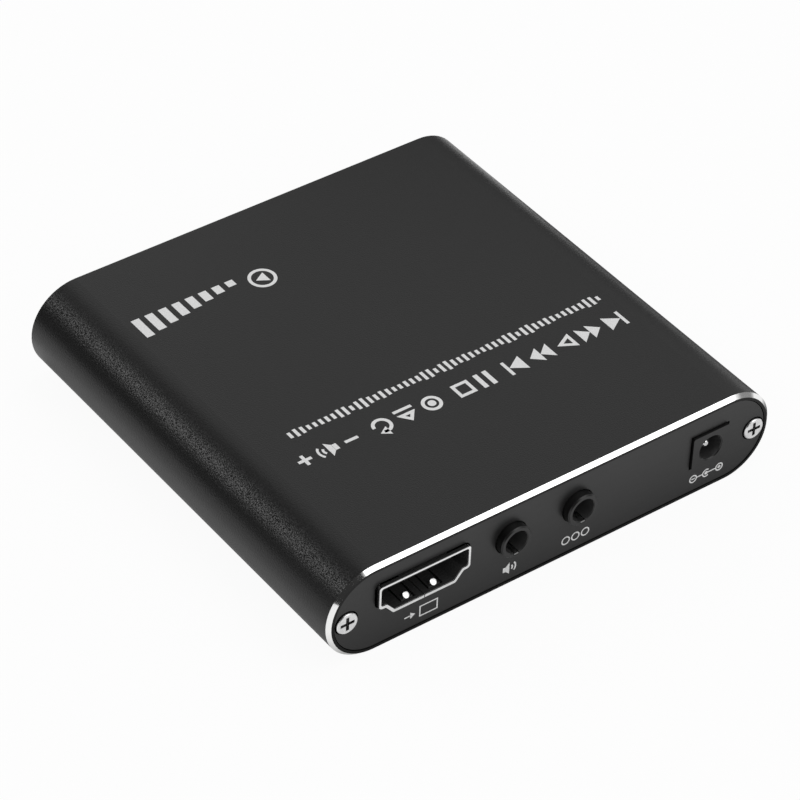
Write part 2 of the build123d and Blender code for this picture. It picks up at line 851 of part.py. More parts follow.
# Card socket contacts: sprung strips that rise from the back wall and tip down at the card's end
contact_root_z = bay_floor + card_contact_thickness / 2
contact_foot_z = board_top + card_contact_thickness / 2
contact_tail_y = base_back_y - card_tail_reach
contact_tip_y = back_wall_y + card_contact_reach
with BuildPart() as card_socket_contacts:
    for index in range(card_contact_count):
        bent_strip(
            (
                (contact_tip_y, contact_root_z),
                (contact_tip_y - card_contact_tip, contact_root_z + card_contact_lift),
                (back_wall_y, contact_root_z),
                (contact_tail_y, contact_root_z),
                (contact_tail_y, contact_foot_z),
                (contact_tail_y - card_foot_length, contact_foot_z),
            ),
            card_contact_thickness,
            card_x + card_contact_start - index * card_contact_pitch,
            card_contact_width,
        )
card_socket_contacts.part.label = "card_socket_contacts"

# Card socket base: floor, side walls, back wall, and a block in front of the slider for the pin
slider_front_y = card_mouth_y - slider_start
slider_back_y = slider_front_y - slider_length
cam_right = slider_right - cam_wall
cam_left = slider_left + cam_wall
cam_front_y = slider_front_y - cam_start
cam_back_y = cam_front_y - cam_length
pin_x = cam_right - cam_lane / 2
pin_root_y = card_mouth_y - pin_root_depth
pin_tip_y = cam_back_y + cam_lane / 2
pin_z = bay_floor + slider_height + pin_lift + pin_radius
slider_top = bay_floor + slider_height
with BuildPart() as card_socket_base:
    with BuildSketch(Plane.XY.offset(board_top)):
        draw_span((base_left, base_back_y), (base_right, card_mouth_y))
    extrude(amount=card_floor)
    with BuildSketch(Plane.XY.offset(bay_floor)):
        draw_span((base_left, base_back_y), (base_left + card_side_wall, card_mouth_y))
        draw_span((card_right, base_back_y), (base_right, card_mouth_y))
        draw_span((base_left, base_back_y), (base_right, back_wall_y))
    extrude(amount=card_bay_height)
    with BuildSketch(Plane.XY.offset(bay_floor)):
        draw_span((rib_left, base_back_y), (card_left, card_mouth_y))
    extrude(amount=card_rib_height)
    with BuildSketch(Plane.XY.offset(bay_floor)):
        draw_span((base_left, slider_front_y + slider_gap), (card_left, card_mouth_y))
    extrude(amount=slider_height)
    with BuildSketch(Plane.XY.offset(slider_top)):
        with Locations((pin_x, pin_root_y)):
            Circle(pin_radius + pin_hole_gap)
    extrude(amount=-pin_root_length, mode=Mode.SUBTRACT)
    add(card_socket_contacts.part, mode=Mode.SUBTRACT)
card_socket_base.part.label = "card_socket_base"

# Card slider: runs beside the card, pushed by a toe behind the card's corner, with a heart-shaped
# latch track on its top and a blind hole for the eject spring in its back end
heart_middle_x = (cam_left + cam_right) / 2
heart_half = (cam_right - cam_left) / 2 - cam_lane
heart_front_y = (cam_front_y + cam_back_y + heart_length) / 2
heart_back_y = heart_front_y - heart_length
spring_x = (slider_left + slider_right) / 2
spring_z = bay_floor + slider_height / 2
with BuildPart() as card_slider:
    with BuildSketch(Plane.XY.offset(bay_floor + slider_gap)):
        draw_span((slider_left, slider_back_y), (slider_right, slider_front_y))
    extrude(amount=slider_height - slider_gap)
    with BuildSketch(Plane.XY.offset(bay_floor + card_rib_height + slider_gap)):
        draw_span(
            (slider_right, slider_back_y),
            (card_left + slider_toe_reach, slider_back_y + slider_toe_length),
        )
    extrude(amount=slider_height - card_rib_height - slider_gap)
    with BuildSketch(Plane.XY.offset(slider_top)):
        draw_span((cam_left, cam_back_y), (cam_right, cam_front_y))
        with BuildLine():
            Polyline(
                (heart_middle_x, heart_back_y),
                (heart_middle_x + heart_half, heart_back_y + heart_length * heart_shoulder_share),
                (heart_middle_x + heart_half, heart_front_y),
                (heart_middle_x, heart_front_y - heart_length * heart_notch_share),
                (heart_middle_x - heart_half, heart_front_y),
                (heart_middle_x - heart_half, heart_back_y + heart_length * heart_shoulder_share),
                close=True,
            )
        make_face(mode=Mode.SUBTRACT)
    extrude(amount=-cam_depth, mode=Mode.SUBTRACT)
    with BuildSketch(Plane.XZ.offset(-slider_back_y)):
        with Locations((spring_x, spring_z)):
            Circle(spring_pocket_radius)
    extrude(amount=-spring_pocket_depth, mode=Mode.SUBTRACT)
card_slider.part.label = "card_slider"

# Eject spring: a helix of quarter turns, each drawn as two arcs that meet tangentially
spring_start_y = slider_back_y + spring_pocket_depth - spring_wire_radius - spring_end_gap
spring_end_y = back_wall_y + spring_wire_radius + spring_end_gap
spring_pitch = (spring_start_y - spring_end_y) / spring_turns


def spring_point(turn):
    """Point on the spring's centre line after a number of turns."""
    angle = 2 * pi * turn
    drop = spring_pitch * turn
    return Vector(
        spring_x + spring_radius * cos(angle), spring_start_y - drop, spring_z + spring_radius * sin(angle)
    )


def spring_direction(turn):
    """Direction of the spring's centre line after a number of turns."""
    angle = 2 * pi * turn
    around = 2 * pi * spring_radius
    return Vector(-around * sin(angle), -spring_pitch, around * cos(angle)).normalized()


with BuildPart() as card_eject_spring:
    with BuildLine():
        for quarter in range(4 * spring_turns):
            start, end = spring_point(quarter / 4), spring_point((quarter + 1) / 4)
            leave, arrive = spring_direction(quarter / 4), spring_direction((quarter + 1) / 4)
            chord, both = end - start, leave + arrive
            spread = 2 * (1 - leave.dot(arrive))
            along = chord.dot(both)
            reach = (sqrt(along**2 + spread * chord.dot(chord)) - along) / spread
            first, last = start + leave * reach, end - arrive * reach
            meet = (first + last) * 0.5
            TangentArc(start, meet, tangent=leave)
            TangentArc(meet, end, tangent=last - first)
    with BuildSketch(Plane(origin=spring_point(0), z_dir=spring_direction(0))):
        RegularPolygon(spring_wire_radius, wire_sides)
    sweep()
card_eject_spring.part.label = "card_eject_spring"
print(f"eject spring: least gap between turns {spring_pitch - 2 * spring_wire_radius:.2f} mm")

# Latch pin: a wire staple, its root in the base and its tip in the slider's track
with BuildPart() as card_latch_pin:
    with BuildLine() as pin_path:
        FilletPolyline(
            (pin_x, pin_root_y, slider_top - pin_root_length + pin_tip_gap),
            (pin_x, pin_root_y, pin_z),
            (pin_x, pin_tip_y, pin_z),
            (pin_x, pin_tip_y, slider_top - cam_depth + pin_tip_gap),
            radius=pin_bend,
        )
    with BuildSketch(Plane(origin=pin_path.line @ 0, z_dir=pin_path.line % 0)):
        RegularPolygon(pin_radius, wire_sides)
    sweep()
card_latch_pin.part.label = "card_latch_pin"

# Card socket cover: folded sheet over the base, with solder lugs and a tongue that holds the pin down
cover_left = base_left - cover_fit
cover_right = base_right + cover_fit
cover_lugs = [card_mouth_y - depth for depth in cover_lug_depths]
tongue_middle_y = card_mouth_y - cover_tongue_depth - cover_tongue_length / 2
with BuildPart() as card_socket_cover:
    with BuildSketch(Plane.XZ.offset(-card_mouth_y)):
        draw_span((cover_left - cover_sheet, board_top), (cover_right + cover_sheet, bay_top + cover_sheet))
        draw_span((cover_left, board_top), (cover_right, bay_top), Mode.SUBTRACT)
    extrude(amount=card_depth)
    with BuildSketch(Plane.XY.offset(board_top)):
        for lug_y in cover_lugs:
            for side_x, reach in (
                (cover_left - cover_sheet, -cover_lug_reach),
                (cover_right + cover_sheet, cover_lug_reach),
            ):
                draw_span(
                    (side_x, lug_y - cover_lug_width / 2),
                    (side_x + reach, lug_y + cover_lug_width / 2),
                )
    extrude(amount=cover_sheet)
    cut_fingers(
        [(pin_x, tongue_middle_y)],
        cover_tongue_width,
        cover_tongue_length,
        cover_tongue_slit,
        bay_top,
        cover_sheet,
    )
card_socket_cover.part.label = "card_socket_cover"

# Infrared receiver behind its window
with BuildPart() as ir_receiver:
    with BuildSketch(media_plane(ir_depth)):
        with Locations((ir_x, board_top + ir_height / 2 + ir_lead_width)):
            Rectangle(ir_width, ir_height)
    extrude(amount=ir_thickness, taper=mould_angle)
    with BuildSketch(media_plane(ir_depth)):
        with Locations((ir_x, ir_z)):
            Circle(ir_lens_radius)
    extrude(amount=-ir_lens_reach, taper=ir_lens_angle)
ir_receiver.part.label = "ir_receiver"

ir_lead_y = panel_face - ir_depth - ir_thickness / 2
ir_lead_places = [(ir_x + place * ir_lead_pitch, ir_lead_y) for place in (-1, 0, 1)]
with BuildPart() as ir_receiver_leads:
    with BuildSketch(Plane.XY.offset(tail_end)):
        with Locations(*ir_lead_places):
            Rectangle(ir_lead_width, ir_lead_width)
    extrude(amount=board_top + ir_lead_width - tail_end)
ir_receiver_leads.part.label = "ir_receiver_leads"

with BuildPart() as ir_window:
    with BuildSketch(media_plane(0)):
        with Locations((ir_x, ir_z)):
            Circle(window_radius)
    extrude(amount=panel_thickness)
    chamfer(ir_window.faces().sort_by(Axis.Y)[-1].edges(), window_edge)
    with BuildSketch(media_plane(panel_thickness)):
        with Locations((ir_x, ir_z)):
            Circle(window_radius + window_flange)
    extrude(amount=window_flange_thickness)
ir_window.part.label = "ir_window"

# Status light: a side-facing package at the board's edge, low behind the window
led_front_y = panel_back - window_flange_thickness - led_window_gap - led_lens_reach
with BuildPart() as status_led:
    with BuildSketch(Plane.XY.offset(board_top)):
        draw_span((ir_x - led_width / 2, led_front_y - led_length), (ir_x + led_width / 2, led_front_y))
        with Locations((ir_x, led_front_y)):
            Ellipse(led_lens_width / 2, led_lens_reach)
    extrude(amount=led_height)
status_led.part.label = "status_led"

# Circuit board, with a hole for every leg and tail that goes through it
board_slots = [(place, video_wall, video_leg_width) for place in video_leg_places]
board_slots += [(place, drive_wall, drive_leg_width) for place in drive_leg_places]
board_slots += [
    ((drive_x + place, drive_tail_y), drive_contact_width, drive_contact_thickness)
    for place in drive_contact_places
]
for jack_x in (av_jack_x, component_jack_x):
    board_slots.append(((jack_x, ground_back_y), ground_leaf_width, jack_leaf_thickness))
    for leaf_side, leaf_start in zip(jack_leaf_sides, leaf_starts):
        leaf_x = jack_x + leaf_side * (jack_bore_radius + jack_leaf_thickness / 2)
        board_slots.append(((leaf_x, leaf_start + jack_tab_width / 2), jack_leaf_thickness, jack_tab_width))
board_slots.append(((dc_x, dc_back_y + dc_rivet_length / 2), dc_tab_width, dc_rivet_length))
dc_leaf_x = dc_x + dc_hole_radius + dc_tab_thickness / 2
board_slots.append(((dc_leaf_x, dc_leaf_y + dc_tab_width / 2), dc_tab_thickness, dc_tab_width))
board_slots += [(place, ir_lead_width, ir_lead_width) for place in ir_lead_places]
with BuildPart() as main_board:
    with BuildSketch(Plane.XY.offset(board_bottom)):
        Rectangle(board_width, board_length)
        for place, width, length in board_slots:
            with Locations(place):
                Rectangle(width + 2 * tail_gap, length + 2 * tail_gap, mode=Mode.SUBTRACT)
    extrude(amount=board_thickness)
main_board.part.label = "main_board"

# Processor: a square package with a moulded cap on its carrier, in the band between the port sockets
# and the card socket, midway between the card socket and the right screw channel
band_y = (jack_length - jack_front + contact_tail_y - card_foot_length) / 2
processor_x = (base_right + screw_x - channel_radius) / 2
processor_front_y = band_y - processor_size / 2
processor_back_y = band_y + processor_size / 2


def behind_processor(shares):
    """Place behind the processor, in columns and rows."""
    return (processor_x + shares[0] * column_pitch, processor_back_y + shares[1] * row_pitch)


with BuildPart() as media_processor:
    with BuildSketch(Plane.XY.offset(board_top)):
        with Locations((processor_x, band_y)):
            Rectangle(processor_size, processor_size)
    extrude(amount=processor_substrate)
    with BuildSketch(Plane.XY.offset(board_top + processor_substrate)):
        with Locations((processor_x, band_y)):
            Rectangle(processor_size - 2 * processor_margin, processor_size - 2 * processor_margin)
    extrude(amount=processor_height - processor_substrate, taper=mould_angle)
media_processor.part.label = "media_processor"


def leaded_package(places, width, length, height, pitch, count, lead_width):
    """Moulded packages with a row of flat leads along their front and back."""
    with BuildPart() as package:
        for place in places:
            with BuildSketch(Plane.XY.offset(board_top + chip_lead_thickness)):
                with Locations(place):
                    Rectangle(width, length)
            extrude(amount=height - chip_lead_thickness, taper=mould_angle)
            with BuildSketch(Plane.XY.offset(board_top)):
                with Locations(place):
                    with GridLocations(pitch, length, count, 2):
                        Rectangle(lead_width, 2 * chip_lead_reach)
            extrude(amount=2 * chip_lead_thickness)
    return package.part


memory_chips = leaded_package(
    [(card_x - memory_pitch / 2, band_y), (card_x + memory_pitch / 2, band_y)],
    memory_width,
    memory_length,
    memory_height,
    memory_lead_pitch,
    memory_lead_count,
    memory_lead_width,
)
memory_chips.label = "memory_chips"
small_leads = (small_lead_pitch, small_lead_count, small_lead_width)
flash_chip = leaded_package(
    [behind_processor(flash_place_shares)], flash_width, flash_length, flash_height, *small_leads
)
flash_chip.label = "flash_chip"
video_driver_chip = leaded_package(
    [behind_processor(driver_place_shares)], driver_width, driver_length, driver_height, *small_leads
)
video_driver_chip.label = "video_driver_chip"

# Clock crystal: a ceramic base with a metal lid, in front of the processor's left corner
crystal_place = (
    processor_x - processor_size / 2 + crystal_width / 2,
    processor_front_y - part_gap - crystal_length / 2,
)
with BuildPart() as clock_crystal:
    with BuildSketch(Plane.XY.offset(board_top)):
        with Locations(crystal_place):
            Rectangle(crystal_width, crystal_length)
    extrude(amount=crystal_base_height)
    with BuildSketch(Plane.XY.offset(board_top + crystal_base_height)):
        with Locations(crystal_place):
            Rectangle(crystal_width - 2 * crystal_lid_margin, crystal_length - 2 * crystal_lid_margin)
    extrude(amount=crystal_height - crystal_base_height)
clock_crystal.part.label = "clock_crystal"

# Filter capacitors: aluminium cans on square bases with two cut corners
can_half = can_base / 2
with BuildPart() as filter_capacitors:
    for can_x, can_y in [behind_processor(shares) for shares in can_place_shares]:
        with BuildSketch(Plane.XY.offset(board_top)):
            with BuildLine():
                Polyline(
                    (can_x - can_half, can_y - can_half),
                    (can_x + can_half - can_base_cut, can_y - can_half),
                    (can_x + can_half, can_y - can_half + can_base_cut),
                    (can_x + can_half, can_y + can_half - can_base_cut),
                    (can_x + can_half - can_base_cut, can_y + can_half),
                    (can_x - can_half, can_y + can_half),
                    close=True,
                )
            make_face()
        extrude(amount=can_base_height)
        with BuildSketch(Plane.XY.offset(board_top + can_base_height)):
            with Locations((can_x, can_y)):
                Circle(can_radius)
        extrude(amount=can_height - can_base_height)
    chamfer(filter_capacitors.edges().group_by(Axis.Z)[-1], can_edge)
filter_capacitors.part.label = "filter_capacitors"

# Power inductors: square shields with a round core let into the top
with BuildPart() as power_inductors:
    with BuildSketch(Plane.XY.offset(board_top)) as shields:
        with Locations(*[behind_processor(shares) for shares in inductor_place_shares]):
            Rectangle(inductor_size, inductor_size)
        chamfer(shields.vertices(), inductor_corner)
    extrude(amount=inductor_height)
    with BuildSketch(Plane.XY.offset(board_top + inductor_height)):
        with Locations(*[behind_processor(shares) for shares in inductor_place_shares]):
            Circle(inductor_core_radius)
    extrude(amount=-inductor_core_depth, mode=Mode.SUBTRACT)
power_inductors.part.label = "power_inductors"

# Voltage regulators: moulded body, heat tab on one side and three leads on the other
with BuildPart() as voltage_regulators:
    for regulator_x, regulator_y in [behind_processor(shares) for shares in regulator_place_shares]:
        with BuildSketch(Plane.XY.offset(board_top + regulator_lead_thickness)):
            with Locations((regulator_x, regulator_y)):
                Rectangle(regulator_width, regulator_length)
        extrude(amount=regulator_height - regulator_lead_thickness, taper=mould_angle)
        with BuildSketch(Plane.XY.offset(board_top)):
            with Locations((regulator_x, regulator_y + regulator_length / 2)):
                Rectangle(regulator_tab_width, 2 * regulator_tab_reach)
            with Locations((regulator_x, regulator_y - regulator_length / 2)):
                with GridLocations(regulator_lead_pitch, 0, 3, 1):
                    Rectangle(regulator_lead_width, 2 * regulator_tab_reach)
        extrude(amount=2 * regulator_lead_thickness)
voltage_regulators.part.label = "voltage_regulators"

# Chip resistors in a row beside the crystal
resistor_start_x = crystal_place[0] + crystal_width / 2 + part_gap + resistor_width / 2
resistor_y = processor_front_y - part_gap - resistor_length / 2
resistor_xs = [resistor_start_x + index * resistor_pitch for index in range(resistor_count)]
with BuildPart() as chip_resistors:
    with BuildSketch(Plane.XY.offset(board_top)):
        with Locations(*[(x, resistor_y) for x in resistor_xs]):
            Rectangle(resistor_width, resistor_length)
    extrude(amount=resistor_height)
chip_resistors.part.label = "chip_resistors"

pieces = [
    case_sleeve.part,
    port_panel.part,
    media_panel.part,
    port_panel_screws,
    media_panel_screws,
    main_board.part,
    video_socket_shell.part,
    video_socket_insulator.part,
    video_socket_contacts.part,
    av_jack_housing,
    av_jack_contacts,
    component_jack_housing,
    component_jack_contacts,
    dc_jack_housing.part,
    dc_jack_pin.part,
    dc_jack_spring.part,
    drive_socket_shell.part,
    drive_socket_insulator.part,
    drive_socket_contacts.part,
    card_socket_base.part,
    card_socket_cover.part,
    card_socket_contacts.part,
    card_slider.part,
    card_eject_spring.part,
    card_latch_pin.part,
    ir_receiver.part,
    ir_receiver_leads.part,
    ir_window.part,
    status_led.part,
    media_processor.part,
    memory_chips,
    flash_chip,
    video_driver_chip,
    clock_crystal.part,
    filter_capacitors.part,
    power_inductors.part,
    voltage_regulators.part,
    chip_resistors.part,
]
os.makedirs("parts", exist_ok=True)
for piece in pieces:
    export_step(piece, f"parts/{piece.label}.step")
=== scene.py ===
import json
import math

import bmesh
import bpy
from mathutils import Matrix, Vector


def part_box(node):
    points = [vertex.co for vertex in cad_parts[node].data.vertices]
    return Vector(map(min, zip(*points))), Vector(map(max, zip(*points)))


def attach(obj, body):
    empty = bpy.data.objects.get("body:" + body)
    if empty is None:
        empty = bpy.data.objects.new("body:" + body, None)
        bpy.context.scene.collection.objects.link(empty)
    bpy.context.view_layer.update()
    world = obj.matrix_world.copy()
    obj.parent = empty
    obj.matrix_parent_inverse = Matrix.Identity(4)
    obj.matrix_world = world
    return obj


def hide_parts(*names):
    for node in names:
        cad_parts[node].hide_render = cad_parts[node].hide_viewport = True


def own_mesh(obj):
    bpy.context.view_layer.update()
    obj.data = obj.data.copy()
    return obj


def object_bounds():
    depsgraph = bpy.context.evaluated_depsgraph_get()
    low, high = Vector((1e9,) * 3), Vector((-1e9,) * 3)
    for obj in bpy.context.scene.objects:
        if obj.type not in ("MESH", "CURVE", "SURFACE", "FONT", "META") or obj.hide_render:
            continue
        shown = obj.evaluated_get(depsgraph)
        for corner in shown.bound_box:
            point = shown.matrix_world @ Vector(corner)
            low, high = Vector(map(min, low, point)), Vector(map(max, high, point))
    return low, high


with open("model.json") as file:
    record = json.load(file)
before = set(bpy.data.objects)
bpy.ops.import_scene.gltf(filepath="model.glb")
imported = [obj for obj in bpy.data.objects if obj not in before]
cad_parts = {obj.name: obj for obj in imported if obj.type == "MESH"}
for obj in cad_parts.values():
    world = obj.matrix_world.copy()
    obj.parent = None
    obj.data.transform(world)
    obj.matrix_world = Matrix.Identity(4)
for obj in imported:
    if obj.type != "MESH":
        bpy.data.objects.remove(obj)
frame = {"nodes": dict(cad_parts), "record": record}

# The looks of a mini media player: finishes for its solid parts, the printed marks on its sleeve and
# port panel, its eject coil, the video socket's contact tips, and a white studio with the camera at
# the photo's angle.
cad_low, cad_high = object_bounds()
scene = bpy.context.scene
scene.view_settings.view_transform = "Standard"
millimetre = 0.001
per_metre = 1000.0

# Places read from the frame
sleeve_low, sleeve_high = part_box("case_sleeve")
panel_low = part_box("port_panel")[0]
video_low, video_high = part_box("video_socket_shell")
screws_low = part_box("port_panel_screws")[0]
case_width = sleeve_high.x - sleeve_low.x
case_middle = (sleeve_low + sleeve_high) / 2

# Mouth of the video socket in millimetres
video_half_width, video_half_height, video_rim = 7.0, 2.275, 0.42
video_face = video_low.y * per_metre
video_middle_z = video_high.z * per_metre - video_rim - video_half_height


def middle_x(node):
    """Middle of a part across the panel, in millimetres."""
    low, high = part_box(node)
    return (low.x + high.x) / 2 * per_metre


class Surface:
    """A material with one Principled shader, and short calls that add and join its nodes."""

    def __init__(self, name):
        self.material = bpy.data.materials.new(name)
        self.material.use_nodes = True
        self.tree = self.material.node_tree
        self.shader = self.tree.nodes["Principled BSDF"]

    def add(self, kind, settings=(), inputs=()):
        """Add a node, set its options, and feed its inputs by name or number."""
        node = self.tree.nodes.new("ShaderNode" + kind)
        for key, value in dict(settings).items():
            setattr(node, key, value)
        for key, value in dict(inputs).items():
            self.feed(node.inputs[key], value)
        return node

    def feed(self, socket, value):
        """Join a node's output to a socket, or set the socket to a plain value."""
        if isinstance(value, bpy.types.NodeSocket):
            self.tree.links.new(value, socket)
        else:
            socket.default_value = value

    def shade(self, **inputs):
        """Feed the shader's own sockets, named in lower case with underscores."""
        sockets = {socket.name.lower().replace(" ", "_"): socket for socket in self.shader.inputs}
        for key, value in inputs.items():
            self.feed(sockets[key], value)
        return self.material

    def place(self):
        """Position on the object in millimetres."""
        coordinates = self.add("TexCoord").outputs["Object"]
        scaled = self.add("VectorMath", {"operation": "SCALE"}, {0: coordinates, "Scale": per_metre})
        return scaled.outputs[0]

    def stretched(self, scale):
        """Position in millimetres, scaled differently along each axis."""
        return self.add("VectorMath", {"operation": "MULTIPLY"}, {0: self.place(), 1: scale}).outputs[0]

    def noise(self, size, detail=2.0, place=None):
        """Noise from 0 to 1 whose features are about a size in millimetres."""
        inputs = {"Vector": place or self.place(), "Scale": 1.0 / size, "Detail": detail}
        return self.add("TexNoise", (), inputs).outputs["Fac"]

    def math(self, operation, first, second=0.0):
        """One sum on two values."""
        return self.add("Math", {"operation": operation}, {0: first, 1: second}).outputs[0]

    def ramp(self, value, start, end, low=0.0, high=1.0):
        """Value carried from one span to another, and held at its ends."""
        inputs = {"Value": value, "From Min": start, "From Max": end, "To Min": low, "To Max": high}
        return self.add("MapRange", (), inputs).outputs[0]

    def spread(self, noise, low=0.0, high=1.0):
        """Noise stretched over a span, which its middle values fill."""
        noise_low, noise_high = 0.3, 0.7
        return self.ramp(noise, noise_low, noise_high, low, high)

    def blend(self, share, first, second):
        """Mix of two colours."""
        inputs = {0: share, 6: colour(first), 7: colour(second)}
        return self.add("Mix", {"data_type": "RGBA"}, inputs).outputs[2]

    def between(self, share, first, second):
        """Mix of two values."""
        return self.add("Mix", {"data_type": "FLOAT"}, {0: share, 2: first, 3: second}).outputs[0]

    def parts(self, vector):
        """The x, y and z of a vector."""
        return self.add("SeparateXYZ", (), {0: vector}).outputs

    def bump(self, height, strength, depth):
        """Bumps of a depth in millimetres."""
        inputs = {"Height": height, "Strength": strength, "Distance": depth * millimetre}
        return self.add("Bump", (), inputs).outputs[0]


def colour(value):
    """A grey level, three colour values, or a node's output, as a colour input takes it."""
    if isinstance(value, bpy.types.NodeSocket):
        return value
    if isinstance(value, float):
        return (value, value, value, 1.0)
    return (*value, 1.0)


def anodised_sleeve():
    """Black bead-blasted anodising; the slanted end edges are cut bright through it, the ends left dull."""
    shoulder_rise, shoulder_fall = (0.3, 0.6), (0.85, 0.7)
    cut_rise, cut_fall, end_rise = (0.45, 0.5), (0.95, 0.9), (0.9, 0.95)
    top_gloss, end_gloss, glint_noise, glint_glosses = 0.27, 0.12, (0.38, 0.62), (0.05, 0.49)
    dye_noise, grain_depth = (0.35, 0.7), 0.03
    surface = Surface("black_anodised_sleeve")
    geometry = surface.add("NewGeometry").outputs
    slant = surface.math("ABSOLUTE", surface.parts(geometry["True Normal"])[1])
    sideways = surface.math("ABSOLUTE", surface.parts(geometry["Normal"])[0])
    shoulder = surface.math(
        "MULTIPLY", surface.ramp(sideways, *shoulder_rise), surface.ramp(sideways, *shoulder_fall))
    cut = surface.math("MULTIPLY", surface.ramp(slant, *cut_rise), surface.ramp(slant, *cut_fall))
    end = surface.ramp(slant, *end_rise)
    grain = surface.noise(0.2, 1.0)
    glints = surface.ramp(surface.noise(0.17, 0.0), *glint_noise, *glint_glosses)
    gloss = surface.between(shoulder, top_gloss, glints)
    dye = surface.blend(surface.ramp(grain, *dye_noise), 0.004, 0.008)
    cutter_marks = surface.noise(0.05, 1.0, surface.stretched((0.25, 6.0, 0.25)))
    bright = surface.blend(cutter_marks, (0.80, 0.80, 0.80), (0.93, 0.93, 0.92))
    satin = surface.spread(surface.noise(9.0), 0.285, 0.3)
    polish = surface.spread(cutter_marks, 0.07, 0.14)
    blasted = surface.math("MULTIPLY", grain, surface.math("SUBTRACT", 1.0, cut))
    return surface.shade(
        base_color=surface.blend(cut, dye, bright),
        metallic=cut,
        roughness=surface.between(cut, satin, polish),
        specular_ior_level=surface.between(end, gloss, end_gloss),
        normal=surface.bump(blasted, 1.0, grain_depth),
    )


def anodised_panel():
    """Satin black anodising on a rolled plate: finer grain and a little paler than the sleeve."""
    dye_noise = (0.35, 0.7)
    surface = Surface("black_anodised_panel")
    grain = surface.noise(0.1, 3.0)
    rolled = surface.noise(0.3, 2.0, surface.stretched((0.08, 1.0, 1.0)))
    dye = surface.blend(surface.ramp(grain, *dye_noise), 0.011, 0.017)
    satin = surface.spread(rolled, 0.32, 0.38)
    return surface.shade(
        base_color=dye,
        roughness=satin,
        specular_ior_level=0.38,
        normal=surface.bump(grain, 0.25, 0.015),
    )


def plated_metal(name, dark, pale, rough, streak=(1.0, 1.0, 1.0)):
    """Plated metal with faint streaks along the way that it was drawn or rolled."""
    surface = Surface(name)
    streaks = surface.noise(0.2, 3.0, surface.stretched(streak))
    stain = surface.noise(1.6)
    tone = surface.blend(surface.spread(stain), dark, pale)
    gloss = surface.spread(streaks, rough, rough * 1.5)
    return surface.shade(
        base_color=tone,
        metallic=1.0,
        roughness=gloss,
        normal=surface.bump(streaks, 0.15, 0.01),
    )


def cross_head_steel():
    """Bright plated screws with painted shade in the cross recess and down the sides of the head, which are
    darker there.
    """
    recess_start, recess_full = 0.04, 0.12
    surface = Surface("plated_screw_steel")
    face = -screws_low.y * per_metre
    depth = surface.math("ABSOLUTE", surface.parts(surface.place())[1])
    # Painted shade: a darker tone on everything set back from the face of the head
    sunk = surface.ramp(depth, face - recess_start, face - recess_full)
    stain = surface.noise(0.5)
    pale = surface.blend(surface.spread(stain), 0.78, 0.93)
    dark = surface.blend(surface.spread(stain), 0.22, 0.42)
    return surface.shade(
        base_color=surface.blend(sunk, pale, dark),
        metallic=1.0,
        roughness=surface.spread(stain, 0.28, 0.4),
        normal=surface.bump(stain, 0.4, 0.04),
    )


def video_socket_sheet():
    """Bright drawn sheet with painted shade: a darker band at the outer edge of its rolled rim, and a dark,
    non-metal inside beyond the rim.
    """
    rim_start, rim_end, inner_shade_tone, edge_shade_tone = 0.08, 0.2, 0.035, 0.1
    margin, shaded_edge_width, finger_span, finger_depth, sheet = 0.1, 0.13, 3.9, 0.5, 0.6
    middle = middle_x("video_socket_shell")
    surface = Surface("video_socket_sheet")
    x, y, z = surface.parts(surface.place())
    across = surface.math("ABSOLUTE", surface.math("SUBTRACT", x, middle))
    upward = surface.math("SUBTRACT", z, video_middle_z)
    height = surface.math("ABSOLUTE", upward)
    # Painted shade: the inside beyond the rim and the spring fingers get a dark tone and no metal
    beyond_rim = surface.ramp(y, video_face + rim_start, video_face + rim_end)
    within = surface.math("MULTIPLY", surface.math("LESS_THAN", across, video_half_width + margin),
                          surface.math("LESS_THAN", height, video_half_height + margin))
    inner_shade = surface.math("MULTIPLY", beyond_rim, within)
    fingers = surface.math("MULTIPLY", surface.math("LESS_THAN", across, finger_span),
                           surface.math("LESS_THAN", height, video_half_height + sheet))
    finger_shade = surface.math("MULTIPLY", fingers, surface.math("GREATER_THAN", y, video_face + finger_depth))
    inner_shade = surface.math("MAXIMUM", inner_shade, finger_shade)
    # Painted shade: a darker band along the rolled rim's outer edge
    side_edge = surface.math("GREATER_THAN", across, video_half_width + video_rim - shaded_edge_width)
    top_edge = surface.math("GREATER_THAN", upward, video_half_height + video_rim - shaded_edge_width)
    edge_shade = surface.math("MAXIMUM", side_edge, top_edge)
    streaks = surface.noise(0.2, 3.0, surface.stretched((0.3, 1.0, 1.0)))
    plating = surface.blend(surface.spread(streaks), 0.84, 0.95)
    plating = surface.blend(edge_shade, plating, edge_shade_tone)
    return surface.shade(
        base_color=surface.blend(inner_shade, plating, inner_shade_tone),
        metallic=surface.math("SUBTRACT", 1.0, inner_shade),
        roughness=surface.spread(streaks, 0.22, 0.3),
        specular_ior_level=0.2,
        normal=surface.bump(streaks, 0.15, 0.01),
    )


